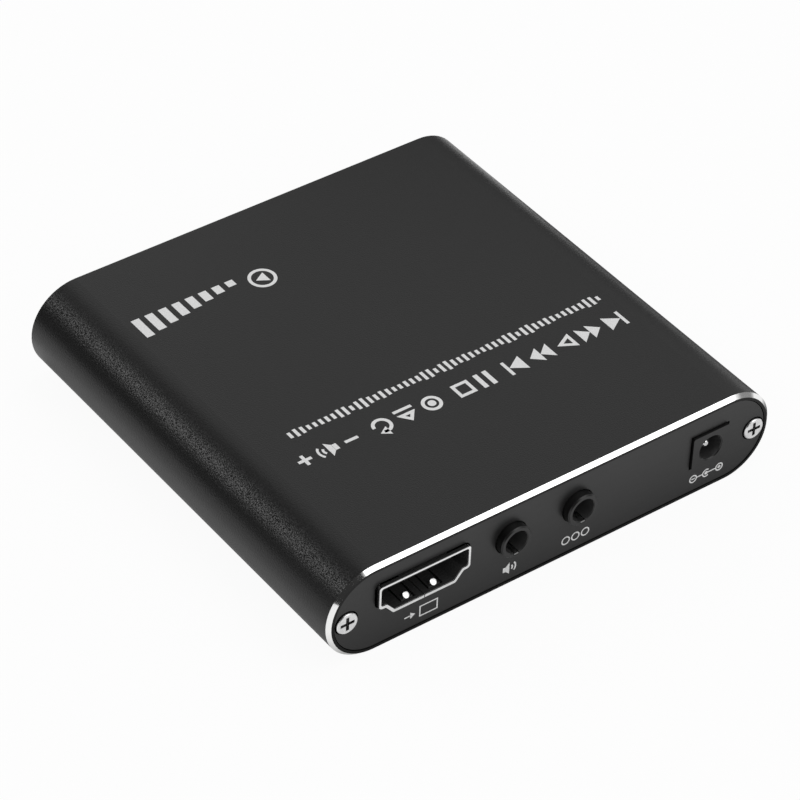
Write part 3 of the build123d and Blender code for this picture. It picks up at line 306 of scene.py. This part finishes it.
def jack_plastic():
    """Black moulded plastic, with painted light down the round bores of the three jacks, which are paler
    there.
    """
    edge, soft, bore_light_tone = 0.06, 0.03, 0.045
    bore_radii = {"av_jack": 1.78, "component_jack": 1.78, "dc_jack": 1.88}
    middles = {mount["name"]: Vector(mount["pos_m"]) * per_metre for mount in frame["record"]["mounts"]}
    surface = Surface("black_jack_plastic")
    x, _, z = surface.parts(surface.place())
    # Painted light: a paler tone down each jack's bore
    bore_light = 0.0
    for jack, bore_radius in bore_radii.items():
        across = surface.math("SUBTRACT", x, middles[jack].x)
        upward = surface.math("SUBTRACT", z, middles[jack].z)
        offset = surface.add("CombineXYZ", (), {0: across, 1: upward}).outputs[0]
        radius = surface.add("VectorMath", {"operation": "LENGTH"}, {0: offset}).outputs["Value"]
        inside = surface.ramp(radius, bore_radius + edge, bore_radius + soft)
        bore_light = surface.math("MAXIMUM", inside, bore_light)
    grain = surface.noise(0.12, 3.0)
    black = surface.blend(surface.spread(surface.noise(3.0)), 0.003, 0.006)
    return surface.shade(
        base_color=surface.blend(bore_light, black, bore_light_tone),
        roughness=surface.spread(grain, 0.29, 0.4),
        specular_ior_level=0.42,
        normal=surface.bump(grain, 0.2, 0.015),
    )


def moulded_plastic(name, dark, pale, rough, size=0.12):
    """Moulded plastic with a fine spark-eroded grain and a faint drift of tone."""
    surface = Surface(name)
    grain = surface.noise(size, 3.0)
    drift = surface.noise(3.0)
    return surface.shade(
        base_color=surface.blend(surface.spread(drift), dark, pale),
        roughness=surface.spread(grain, rough, rough + 0.12),
        specular_ior_level=0.4,
        normal=surface.bump(grain, 0.2, 0.015),
    )


def board_laminate():
    """Green solder resist over copper tracks and poured areas."""
    surface = Surface("board_laminate")
    tracks = surface.add("TexBrick", {"offset": 0.35, "squash": 0.6}, {
        "Vector": surface.place(), "Scale": 0.45, "Mortar Size": 0.06, "Mortar Smooth": 0.2,
    }).outputs["Fac"]
    weave = surface.noise(0.2)
    resist = surface.blend(surface.spread(weave), (0.004, 0.035, 0.014), (0.006, 0.05, 0.02))
    return surface.shade(
        base_color=surface.blend(tracks, resist, (0.01, 0.085, 0.034)),
        roughness=surface.spread(weave, 0.28, 0.36),
        normal=surface.bump(tracks, 0.3, 0.03),
    )


def tinted_window():
    """Dark red polished plastic that lets a little light through."""
    surface = Surface("dark_window")
    flow = surface.noise(1.2)
    return surface.shade(
        base_color=surface.blend(flow, (0.05, 0.004, 0.008), (0.075, 0.006, 0.012)),
        roughness=surface.spread(flow, 0.04, 0.09),
        transmission_weight=0.35,
        ior=1.5,
    )


def lamp_epoxy():
    """Milky tinted epoxy of the status light."""
    surface = Surface("lamp_epoxy")
    cloud = surface.noise(0.4)
    return surface.shade(
        base_color=surface.blend(cloud, (0.62, 0.08, 0.07), (0.75, 0.16, 0.13)),
        roughness=surface.spread(cloud, 0.16, 0.24),
        subsurface_weight=0.2,
        subsurface_scale=0.4 * millimetre,
    )


def screen_print():
    """Pale matt ink with a slightly uneven lay."""
    surface = Surface("pale_print")
    lay = surface.noise(0.25, 3.0)
    return surface.shade(
        base_color=surface.blend(surface.spread(lay), 0.80, 0.88),
        roughness=surface.spread(lay, 0.5, 0.62),
        normal=surface.bump(lay, 0.2, 0.01),
    )


# Finish of each slot, with its dark and pale tones and its roughness
finishes = {
    "black_anodised_sleeve": anodised_sleeve(),
    "black_anodised_panel": anodised_panel(),
    "plated_screw_steel": cross_head_steel(),
    "plated_socket_sheet": plated_metal("plated_socket_sheet", 0.62, 0.80, 0.22, (0.3, 1.0, 1.0)),
    "black_insulator": moulded_plastic("black_insulator", 0.004, 0.008, 0.4),
    "white_insulator": moulded_plastic("white_insulator", 0.68, 0.76, 0.38),
    "black_jack_plastic": jack_plastic(),
    "gilt_contact": plated_metal("gilt_contact", (0.78, 0.55, 0.2), (0.9, 0.68, 0.3), 0.2),
    "tinned_contact": plated_metal("tinned_contact", 0.8, 0.9, 0.2),
    "spring_steel": plated_metal("spring_steel", 0.45, 0.6, 0.25),
    "board_laminate": board_laminate(),
    "chip_epoxy": moulded_plastic("chip_epoxy", 0.014, 0.022, 0.5, 0.08),
    "dark_window": tinted_window(),
    "lamp_epoxy": lamp_epoxy(),
    "crystal_can": plated_metal("crystal_can", 0.6, 0.7, 0.26),
    "capacitor_can": plated_metal("capacitor_can", 0.66, 0.76, 0.24, (1.0, 1.0, 0.2)),
    "ferrite": moulded_plastic("ferrite", 0.035, 0.06, 0.6, 0.2),
    "resistor_ceramic": moulded_plastic("resistor_ceramic", 0.12, 0.3, 0.4, 0.3),
    "pale_print": screen_print(),
}

# Parts whose finish differs from that of their slot
# Painted shade: the jack contacts deep in their bores get a dark plating tone
dulled_contact = plated_metal("dulled_contact", 0.2, 0.28, 0.3)
own_finishes = {
    "video_socket_shell": video_socket_sheet(),
    # Painted light: a paler copy of the black insulator inside the video socket
    "video_socket_insulator": moulded_plastic("video_insulator", 0.022, 0.03, 0.4),
    "av_jack_contacts": dulled_contact,
    "component_jack_contacts": dulled_contact,
    "card_slider": moulded_plastic("slider_plastic", 0.05, 0.07, 0.35),
}


def dress_solid_parts():
    """Give every solid part the finish of its slot, with smooth shading across gentle bends."""
    bend_limit = math.radians(25.0)
    for part in frame["record"]["subparts"]:
        shape = frame["nodes"][part["node"]]
        shape.data.materials.clear()
        shape.data.materials.append(own_finishes.get(part["node"], finishes[part["material_slot"]]))
        shape.data.shade_smooth()
        shape.data.set_sharp_from_angle(angle=bend_limit)


dress_solid_parts()


def mesh_piece(name, mesh, body, slot):
    """Make a piece from a finished mesh, with its finish, and let it ride on a body."""
    piece = bpy.data.objects.new(name, mesh)
    scene.collection.objects.link(piece)
    mesh.materials.append(finishes[slot])
    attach(piece, body)
    return piece


# Printed marks: flat shapes drawn in millimetres, each a list of outlines


def bar(u, v, width, height):
    """Upright rectangle about its middle."""
    corners = ((-1, -1), (1, -1), (1, 1), (-1, 1))
    return [[(u + a * width / 2, v + b * height / 2) for a, b in corners]]


def arrow(u, v, width, height):
    """Triangle that points along the line."""
    return [[(u - width / 2, v - height / 2), (u + width / 2, v), (u - width / 2, v + height / 2)]]


def disc(u, v, radius, sides=28):
    """Round spot."""
    turns = [2 * math.pi * index / sides for index in range(sides)]
    return [[(u + radius * math.cos(turn), v + radius * math.sin(turn)) for turn in turns]]


def arc_band(u, v, radius, width, start=0, end=360, sides=32):
    """Round line between two angles in degrees, or a whole ring."""
    shapes = []
    for index in range(sides):
        turns = [math.radians(start + (end - start) * (index + step) / sides) for step in (0, 1)]
        outer, inner = (
            [(u + reach * math.cos(turn), v + reach * math.sin(turn)) for turn in turns]
            for reach in (radius, radius - width)
        )
        shapes.append([outer[0], outer[1], inner[1], inner[0]])
    return shapes


def hollow(shapes, line):
    """Line of a width along the inside of one outline with straight sides."""
    corners = [Vector(corner) for corner in shapes[0]]
    if sum(a.cross(b) for a, b in zip(corners, corners[1:] + corners[:1])) < 0:
        corners.reverse()
    ahead = corners[1:] + corners[:1]
    inward = [(b - a).normalized().orthogonal() for a, b in zip(corners, ahead)]
    before = inward[-1:] + inward[:-1]
    inner = [p + (m + n) * line / (1 + m.dot(n)) for p, m, n in zip(corners, before, inward)]
    inner_ahead = inner[1:] + inner[:1]
    return [[tuple(p) for p in side] for side in zip(corners, ahead, inner_ahead, inner)]


def printed_mark(name, shapes, origin, across, upward):
    """Ink laid on a surface: outlines in millimetres about an origin, raised by the ink's thickness."""
    ink_thickness = 0.012
    sunk = 0.004
    outward = across.cross(upward)
    build = bmesh.new()
    for outline in shapes:
        corners = [origin + (across * u + upward * v - outward * sunk) * millimetre for u, v in outline]
        face = build.faces.new([build.verts.new(corner) for corner in corners])
        raised = bmesh.ops.extrude_face_region(build, geom=[face])["geom"]
        lifted = [item for item in raised if isinstance(item, bmesh.types.BMVert)]
        bmesh.ops.translate(build, verts=lifted, vec=outward * ink_thickness * millimetre)
    bmesh.ops.recalc_face_normals(build, faces=build.faces)
    mesh = bpy.data.meshes.new(name)
    build.to_mesh(mesh)
    build.free()
    return mesh_piece(name, mesh, "player", "pale_print")


def control_symbols(size):
    """Playback symbols, each with its own drawing about the origin and its width."""
    line, half, side = size * 0.17, size * 0.5, size * 0.92
    pause_step, pause_width, dot_radius = size * 0.25, size * 0.24, size * 0.2
    skip_step, skip_length = size * 0.3, size * 0.6
    last_x, last_length, stop_bar_x = -size * 0.1, size * 0.8, size * 0.4
    lid_base, slot_height = -size * 0.12, -size * 0.4
    turn_start, tip_x, tip_height = 70, size * 0.14, size * 0.415
    tip_length, tip_width = size * 0.46, size * 0.6
    cone_back, cone_neck, cone_mouth = -size * 0.28, size * 0.2, size * 0.48
    box_x, box_width, speaker_width = -size * 0.4, size * 0.22, size * 1.05
    wave_line, wave_angle, wave_radii = line * 0.7, 42, ((size * 0.3, 10), (size * 0.55, 14))
    sign_length, upright = size * 0.7, size * 0.35 - line / 2
    play = hollow(arrow(0, 0, side, size), line)
    pause = bar(-pause_step, 0, pause_width, size) + bar(pause_step, 0, pause_width, size)
    stop = hollow(bar(0, 0, side, side), line)
    record = arc_band(0, 0, half, line) + disc(0, 0, dot_radius)
    skip = arrow(-skip_step, 0, skip_length, size) + arrow(skip_step, 0, skip_length, size)
    last = arrow(last_x, 0, last_length, size) + bar(stop_bar_x, 0, line, size)
    lid = hollow([[(-half, lid_base), (half, lid_base), (0, half)]], line)
    eject = lid + bar(0, slot_height, size, line)
    again = arc_band(0, 0, half, line, turn_start, 360) + arrow(tip_x, tip_height, tip_length, tip_width)
    cone = [[(cone_back, -cone_neck), (0, -cone_mouth), (0, cone_mouth), (cone_back, cone_neck)]]
    speaker = bar(box_x, 0, box_width, 2 * cone_neck) + cone
    for radius, sides in wave_radii:
        speaker += arc_band(0, 0, radius, wave_line, -wave_angle, wave_angle, sides)
    minus = bar(0, 0, sign_length, line)
    arm_height = (line + upright) / 2
    plus = minus + bar(0, arm_height, line, upright) + bar(0, -arm_height, line, upright)
    return {
        "play": (play, side),
        "pause": (pause, 2 * pause_step + pause_width),
        "stop": (stop, side),
        "record": (record, size),
        "forward": (skip, 2 * skip_length),
        "rewind": (mirrored(skip), 2 * skip_length),
        "next": (last, size),
        "previous": (mirrored(last), size),
        "eject": (eject, size),
        "repeat": (again, size),
        "speaker": (speaker, speaker_width),
        "minus": (minus, sign_length),
        "plus": (plus, sign_length),
    }


def mirrored(shapes):
    """The same outlines turned to point the other way along the line."""
    return [[(-a, b) for a, b in reversed(outline)] for outline in shapes]


def shifted(shapes, u, v=0.0):
    """The same outlines moved along and up."""
    return [[(a + u, b + v) for a, b in outline] for outline in shapes]


top_origin = Vector((case_middle.x, case_middle.y, sleeve_high.z))
top_across, top_upward = Vector((-1, 0, 0)), Vector((0, -1, 0))


def symbol_row():
    """Large row of playback symbols near the port end, in groups, which reads from the other end."""
    size, start, end, height, group_gap = 3.0, -28.4, 26.3, 14.0, 2.2
    groups = (
        ("previous", "rewind", "play", "forward", "next"),
        ("pause", "stop"),
        ("record", "eject", "repeat"),
        ("minus", "speaker", "plus"),
    )
    symbols = control_symbols(size)
    taken = sum(symbols[name][1] for group in groups for name in group)
    gaps = sum(len(group) - 1 for group in groups) + group_gap * (len(groups) - 1)
    gap = (end - start - taken) / gaps
    shapes, reached = [], start
    for group in groups:
        for name in group:
            drawing, width = symbols[name]
            shapes += shifted(drawing, reached + width / 2, height)
            reached += width + gap
        reached += gap * (group_gap - 1)
    return printed_mark("symbol_row", shapes, top_origin, top_across, top_upward)


def wave_row():
    """Finer row of upright strokes whose heights rise and fall like a sound wave."""
    count, pitch, stroke, start, height, tallest = 53, 1.0, 0.5, -28.0, 8.8, 2.0
    quick_turn, slow_turn, least_share = 0.9, 0.23, 0.45
    shapes = []
    for index in range(count):
        swell = abs(math.sin(index * quick_turn) * math.cos(index * slow_turn))
        tall = tallest * (least_share + (1 - least_share) * swell)
        shapes += bar(start + index * pitch, height, stroke, tall)
    return printed_mark("wave_row", shapes, top_origin, top_across, top_upward)


def level_mark():
    """Ring with a triangle, and bars that rise, near the media end."""
    start, height, size, line = 8.0, -21.0, 4.2, 0.5
    tip_x, tip_length, tip_height = 0.2, size * 0.42, size * 0.5
    count, first_x, pitch, stroke, least_share, step_share = 8, 4.4, 2.2, 1.3, 0.3, 0.1
    emblem = arc_band(0, 0, size / 2, line) + arrow(tip_x, 0, tip_length, tip_height)
    shapes = shifted(emblem, start, height)
    for index in range(count):
        tall = size * (least_share + step_share * index)
        shapes += bar(start + first_x + index * pitch, height - (size - tall) / 2, stroke, tall)
    return printed_mark("level_mark", shapes, top_origin, top_across, top_upward)


symbol_row()
wave_row()
level_mark()

port_across, port_upward = Vector((1, 0, 0)), Vector((0, 0, 1))
port_origin = Vector((0, panel_low.y, sleeve_low.z))


def port_signs():
    """Small signs under the sockets: a screen with an arrow, a speaker, three rings, and polarity."""
    line, height, speaker_size = 0.2, 3.1, 2.1
    screen_x, screen_width, screen_height = 1.2, 3.0, 1.9
    feed_x, feed_length, tip_x, tip_length, tip_height = -2.2, 1.0, -1.35, 0.8, 1.1
    ring_pitch, ring_radius = 1.65, 0.72
    pole_x, pole_radius, pole_stroke, plus_step, plus_arm = 2.3, 0.68, 0.6, 0.2, 0.2
    cup_radius, cup_start, cup_end, pin_radius = 0.7, 50, 310, 0.3
    left_wire_x, left_wire_length, right_wire_x, right_wire_length = -1.16, 0.92, 0.94, 1.36
    screen = hollow(bar(screen_x, 0, screen_width, screen_height), line)
    screen += bar(feed_x, 0, feed_length, line) + arrow(tip_x, 0, tip_length, tip_height)
    speaker = control_symbols(speaker_size)["speaker"][0]
    rings = [shape for x in (-ring_pitch, 0, ring_pitch) for shape in arc_band(x, 0, ring_radius, line)]
    polarity = []
    for x in (-pole_x, pole_x):
        polarity += arc_band(x, 0, pole_radius, line) + bar(x, 0, pole_stroke, line)
    for v in (plus_step, -plus_step):
        polarity += bar(pole_x, v, line, plus_arm)
    polarity += bar(left_wire_x, 0, left_wire_length, line) + bar(right_wire_x, 0, right_wire_length, line)
    polarity += arc_band(0, 0, cup_radius, line, cup_start, cup_end) + disc(0, 0, pin_radius)
    for name, drawing, node in (
        ("video_sign", screen, "video_socket_shell"),
        ("av_sign", speaker, "av_jack_housing"),
        ("component_sign", rings, "component_jack_housing"),
        ("power_sign", polarity, "dc_jack_housing"),
    ):
        printed_mark(name, shifted(drawing, middle_x(node), height), port_origin, port_across, port_upward)


port_signs()


def eject_spring():
    """Round-wire coil in the place of the plain one."""
    low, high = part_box("card_eject_spring")
    turns, steps, wire, facets = 5, 24, 0.12 * millimetre, 4
    radius = (high.x - low.x) / 2 - wire
    middle = (low + high) / 2
    length = high.y - low.y - 2 * wire
    curve = bpy.data.curves.new("card_eject_coil", "CURVE")
    curve.dimensions = "3D"
    curve.bevel_depth = wire
    curve.bevel_resolution = facets
    curve.use_fill_caps = True
    spline = curve.splines.new("POLY")
    spline.points.add(turns * steps)
    for index, point in enumerate(spline.points):
        turn = 2 * math.pi * index / steps
        y = high.y - wire - length * index / (turns * steps)
        point.co = (middle.x + radius * math.cos(turn), y, middle.z + radius * math.sin(turn), 1.0)
    shaper = bpy.data.objects.new("coil_shaper", curve)
    mesh = bpy.data.meshes.new_from_object(shaper)
    bpy.data.objects.remove(shaper)
    mesh.shade_smooth()
    coil = mesh_piece("card_eject_coil", mesh, "player", "spring_steel")
    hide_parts("card_eject_spring")
    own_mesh(coil)


eject_spring()


def contact_tips():
    """Two round contact tips on the video socket's spring fingers, which lean towards its mouth."""
    reach, depth, lift, radius, bulge, rings, sides = 2.2, 1.12, 0.31, 0.47, 0.06, 4, 24
    lean, bend_limit = Vector((0, -0.64, 0.77)).normalized(), math.radians(60.0)
    turns = [2 * math.pi * index / sides for index in range(sides)]
    build = bmesh.new()
    for side in (-1, 1):
        x = middle_x("video_socket_shell") + side * reach
        z = video_middle_z - video_half_height + lift
        place = Matrix.Translation(Vector((x, video_face + depth, z)) * millimetre)
        place = place @ lean.to_track_quat("Z", "X").to_matrix().to_4x4()
        crown = build.verts.new(place @ Vector((0, 0, bulge * millimetre)))
        loops = []
        for ring in range(1, rings + 1):
            share = ring / rings
            out, up = share * radius, bulge * (1 - share * share)
            spots = [(out * math.cos(turn), out * math.sin(turn), up) for turn in turns]
            loops.append([build.verts.new(place @ (Vector(spot) * millimetre)) for spot in spots])
        for index in range(sides):
            ahead = (index + 1) % sides
            build.faces.new((crown, loops[0][index], loops[0][ahead]))
            for inner, outer in zip(loops, loops[1:]):
                build.faces.new((inner[index], outer[index], outer[ahead], inner[ahead]))
        build.faces.new(loops[-1][::-1])
    mesh = bpy.data.meshes.new("video_contact_tips")
    build.to_mesh(mesh)
    build.free()
    mesh.shade_smooth()
    mesh.set_sharp_from_angle(angle=bend_limit)
    mesh_piece("video_contact_tips", mesh, "player", "tinned_contact")


contact_tips()

# Studio: a white floor, soft boxes, dark cards that shape the reflections, and an even white surround


def seen_directly(tree):
    """1 for rays that show the studio: from the camera, in a reflection or through a clear part."""
    path = tree.nodes.new("ShaderNodeLightPath")
    total = path.outputs["Is Camera Ray"]
    for name in ("Is Glossy Ray", "Is Transmission Ray"):
        larger = tree.nodes.new("ShaderNodeMath")
        larger.operation = "MAXIMUM"
        tree.links.new(total, larger.inputs[0])
        tree.links.new(path.outputs[name], larger.inputs[1])
        total = larger.outputs[0]
    return total


def white_surround():
    """World that looks white and lights the object softly."""
    fill_strength = 0.66
    world = bpy.data.worlds.new("white_surround")
    scene.world = world
    world.use_nodes = True
    tree = world.node_tree
    shown = tree.nodes["Background"]
    shown.inputs["Color"].default_value = (1.0, 1.0, 1.0, 1.0)
    shown.inputs["Strength"].default_value = 1.0
    fill = tree.nodes.new("ShaderNodeBackground")
    fill.inputs["Strength"].default_value = fill_strength
    mixer = tree.nodes.new("ShaderNodeMixShader")
    tree.links.new(seen_directly(tree), mixer.inputs[0])
    tree.links.new(fill.outputs[0], mixer.inputs[1])
    tree.links.new(shown.outputs[0], mixer.inputs[2])
    tree.links.new(mixer.outputs[0], tree.nodes["World Output"].inputs["Surface"])


def studio_floor():
    """White floor that keeps a soft shadow, and that can be seen through from below."""
    reach, gap = 8.0, 0.05 * millimetre
    glow_share, paint_tone = 0.94, 0.97
    mesh = bpy.data.meshes.new("studio_floor")
    corners = [(-reach, -reach, 0), (reach, -reach, 0), (reach, reach, 0), (-reach, reach, 0)]
    mesh.from_pydata(corners, [], [(0, 1, 2, 3)])
    floor = bpy.data.objects.new("studio_floor", mesh)
    floor.location.z = cad_low.z - gap
    scene.collection.objects.link(floor)
    material = bpy.data.materials.new("studio_floor")
    material.use_nodes = True
    tree = material.node_tree
    tree.nodes.remove(tree.nodes["Principled BSDF"])
    paint = tree.nodes.new("ShaderNodeBsdfDiffuse")
    paint.inputs["Color"].default_value = colour(paint_tone)
    glow = tree.nodes.new("ShaderNodeEmission")
    share = tree.nodes.new("ShaderNodeMath")
    share.operation = "MULTIPLY"
    share.inputs[1].default_value = glow_share
    tree.links.new(seen_directly(tree), share.inputs[0])
    mixer = tree.nodes.new("ShaderNodeMixShader")
    tree.links.new(share.outputs[0], mixer.inputs[0])
    tree.links.new(paint.outputs[0], mixer.inputs[1])
    tree.links.new(glow.outputs[0], mixer.inputs[2])
    sides = tree.nodes.new("ShaderNodeMixShader")
    tree.links.new(tree.nodes.new("ShaderNodeNewGeometry").outputs["Backfacing"], sides.inputs[0])
    tree.links.new(mixer.outputs[0], sides.inputs[1])
    tree.links.new(tree.nodes.new("ShaderNodeBsdfTransparent").outputs[0], sides.inputs[2])
    tree.links.new(sides.outputs[0], tree.nodes["Material Output"].inputs["Surface"])
    mesh.materials.append(material)


def direction(azimuth, elevation):
    """Unit vector towards a place in the studio: azimuth 0 is at the port side, 90 to the right."""
    a, e = math.radians(azimuth), math.radians(elevation)
    return Vector((math.sin(a) * math.cos(e), -math.cos(a) * math.cos(e), math.sin(e)))


def soft_box(name, azimuth, elevation, distance, width, height, radiance):
    """Rectangular lamp that faces the object, with a brightness seen in reflections."""
    lamp = bpy.data.lights.new(name, "AREA")
    lamp.shape = "RECTANGLE"
    lamp.size, lamp.size_y = width, height
    lamp.energy = radiance * math.pi * width * height
    holder = bpy.data.objects.new(name, lamp)
    toward = direction(azimuth, elevation)
    holder.location = case_middle + toward * distance
    holder.rotation_euler = toward.to_track_quat("Z", "Y").to_euler()
    holder.visible_camera = False
    scene.collection.objects.link(holder)


def shade_card(name, points, faces, shades):
    """Sheet that only shows in reflections, with a shade at each of its points."""
    mesh = bpy.data.meshes.new(name)
    mesh.from_pydata(points, [], faces)
    mesh.attributes.new("shade", "FLOAT", "POINT").data.foreach_set("value", shades)
    material = bpy.data.materials.new(name)
    material.use_nodes = True
    tree = material.node_tree
    tree.nodes.remove(tree.nodes["Principled BSDF"])
    shade = tree.nodes.new("ShaderNodeAttribute")
    shade.attribute_name = "shade"
    glow = tree.nodes.new("ShaderNodeEmission")
    tree.links.new(shade.outputs["Fac"], glow.inputs["Strength"])
    tree.links.new(glow.outputs[0], tree.nodes["Material Output"].inputs["Surface"])
    mesh.materials.append(material)
    card = bpy.data.objects.new(name, mesh)
    scene.collection.objects.link(card)
    card.visible_camera = False
    card.visible_diffuse = False
    card.visible_shadow = False


def grid_faces(rows, columns):
    """Four-sided faces of a grid of points, row by row."""
    starts = [row * columns + column for row in range(rows - 1) for column in range(columns - 1)]
    return [(first, first + 1, first + columns + 1, first + columns) for first in starts]


def dark_card(name, azimuths, elevations, level, soft_side, soft_top, distance=1.3):
    """Curved card round the object, which fades to white at its sides and top over so many degrees."""
    steps = 24
    width, height = azimuths[1] - azimuths[0], elevations[1] - elevations[0]
    points, shades = [], []
    for row in range(steps + 1):
        for column in range(steps + 1):
            azimuth = azimuths[0] + width * column / steps
            elevation = elevations[0] + height * row / steps
            points.append(case_middle + direction(azimuth, elevation) * distance)
            from_side = min(column, steps - column) / steps * width / soft_side
            from_top = (steps - row) / steps * height / soft_top
            shades.append(1 - (1 - level) * min(from_side, from_top, 1))
    shade_card(name, points, grid_faces(steps + 1, steps + 1), shades)


def floor_shade():
    """Shade on the floor as the object's sides reflect it: deepest and widest at the back right."""
    left_reach, front_reach, back_reach, turn, corner_width = 5.5, 12.3, 8.0, 4.0, 3.0
    right_start, right_reach, right_back_reach = 8.0, 32.0, 100.0
    left_level, corner_level, front_level, right_level, drop = 0.4, 0.8, 0.45, 0.04, 0.03
    low, high = cad_low * per_metre, cad_high * per_metre
    rows = (
        (low.y - front_reach, 1.0, 1.0, right_reach),
        (low.y, front_level, corner_level, right_reach),
        (low.y + turn, right_level, left_level, right_reach),
        (high.y, right_level, left_level, right_back_reach),
        (high.y + back_reach, 1.0, 1.0, right_back_reach),
    )
    points, shades = [], []
    for y, least, left, reach in rows:
        for x, shade in (
            (low.x - left_reach, 1.0),
            (low.x, left),
            (low.x + corner_width, left_level),
            (high.x, right_level),
            (high.x + right_start, right_level),
            (high.x + reach, 1.0),
        ):
            points.append(Vector((x, y, low.z - drop)) * millimetre)
            shades.append(max(shade, least))
    shade_card("floor_shade", points, grid_faces(len(rows), len(points) // len(rows)), shades)


white_surround()
studio_floor()
floor_shade()
soft_box(
    "front_box", azimuth=28.0, elevation=38.0, distance=0.7,
    width=0.42, height=0.26, radiance=1.25,
)
soft_box(
    "back_strip", azimuth=-139.0, elevation=31.0, distance=0.8,
    width=0.5, height=0.12, radiance=3.2,
)
soft_box(
    "overhead_box", azimuth=60.0, elevation=72.0, distance=1.2,
    width=0.9, height=0.8, radiance=1.0,
)
dark_card(
    "front_card", azimuths=(-77.0, 9.0), elevations=(2.0, 48.0), level=0.03,
    soft_side=5.0, soft_top=5.0,
)
dark_card(
    "back_low_card", azimuths=(-165.0, -95.0), elevations=(-4.0, 22.0), level=0.2,
    soft_side=6.0, soft_top=6.0, distance=0.12,
)
dark_card(
    "back_high_card", azimuths=(-188.0, -138.0), elevations=(41.0, 72.0), level=0.3,
    soft_side=10.0, soft_top=10.0,
)
dark_card(
    "right_card", azimuths=(49.0, 80.0), elevations=(0.0, 32.0), level=0.27,
    soft_side=8.0, soft_top=10.0,
)
dark_card(
    "back_right_card", azimuths=(98.0, 160.0), elevations=(-6.0, 36.0), level=0.25,
    soft_side=10.0, soft_top=26.0, distance=0.14,
)


def photo_camera():
    """Camera at the photo's place, in units of the case's width."""
    azimuth, elevation, roll = -37.5716, 40.086, math.radians(2.2104)
    distance, side_shift, up_shift = 6.677, 0.0089, -0.0407
    focal_pixels, picture_pixels, sensor = 3577.6339, 800.0, 36.0
    back = direction(azimuth, elevation)
    right = (-back).cross(Vector((0, 0, 1))).normalized()
    up = right.cross(-back)
    place = case_middle + (back * distance + right * side_shift + up * up_shift) * case_width
    rolled_right = right * math.cos(roll) + up * math.sin(roll)
    rolled_up = up * math.cos(roll) - right * math.sin(roll)
    lens = bpy.data.cameras.new("photo_camera")
    lens.sensor_width = sensor
    lens.lens = focal_pixels * sensor / picture_pixels
    lens.clip_start, lens.clip_end = 0.01, 20.0
    camera = bpy.data.objects.new("photo_camera", lens)
    axes = Matrix((rolled_right, rolled_up, back)).transposed().to_4x4()
    camera.matrix_world = Matrix.Translation(place) @ axes
    scene.collection.objects.link(camera)
    scene.camera = camera


photo_camera()
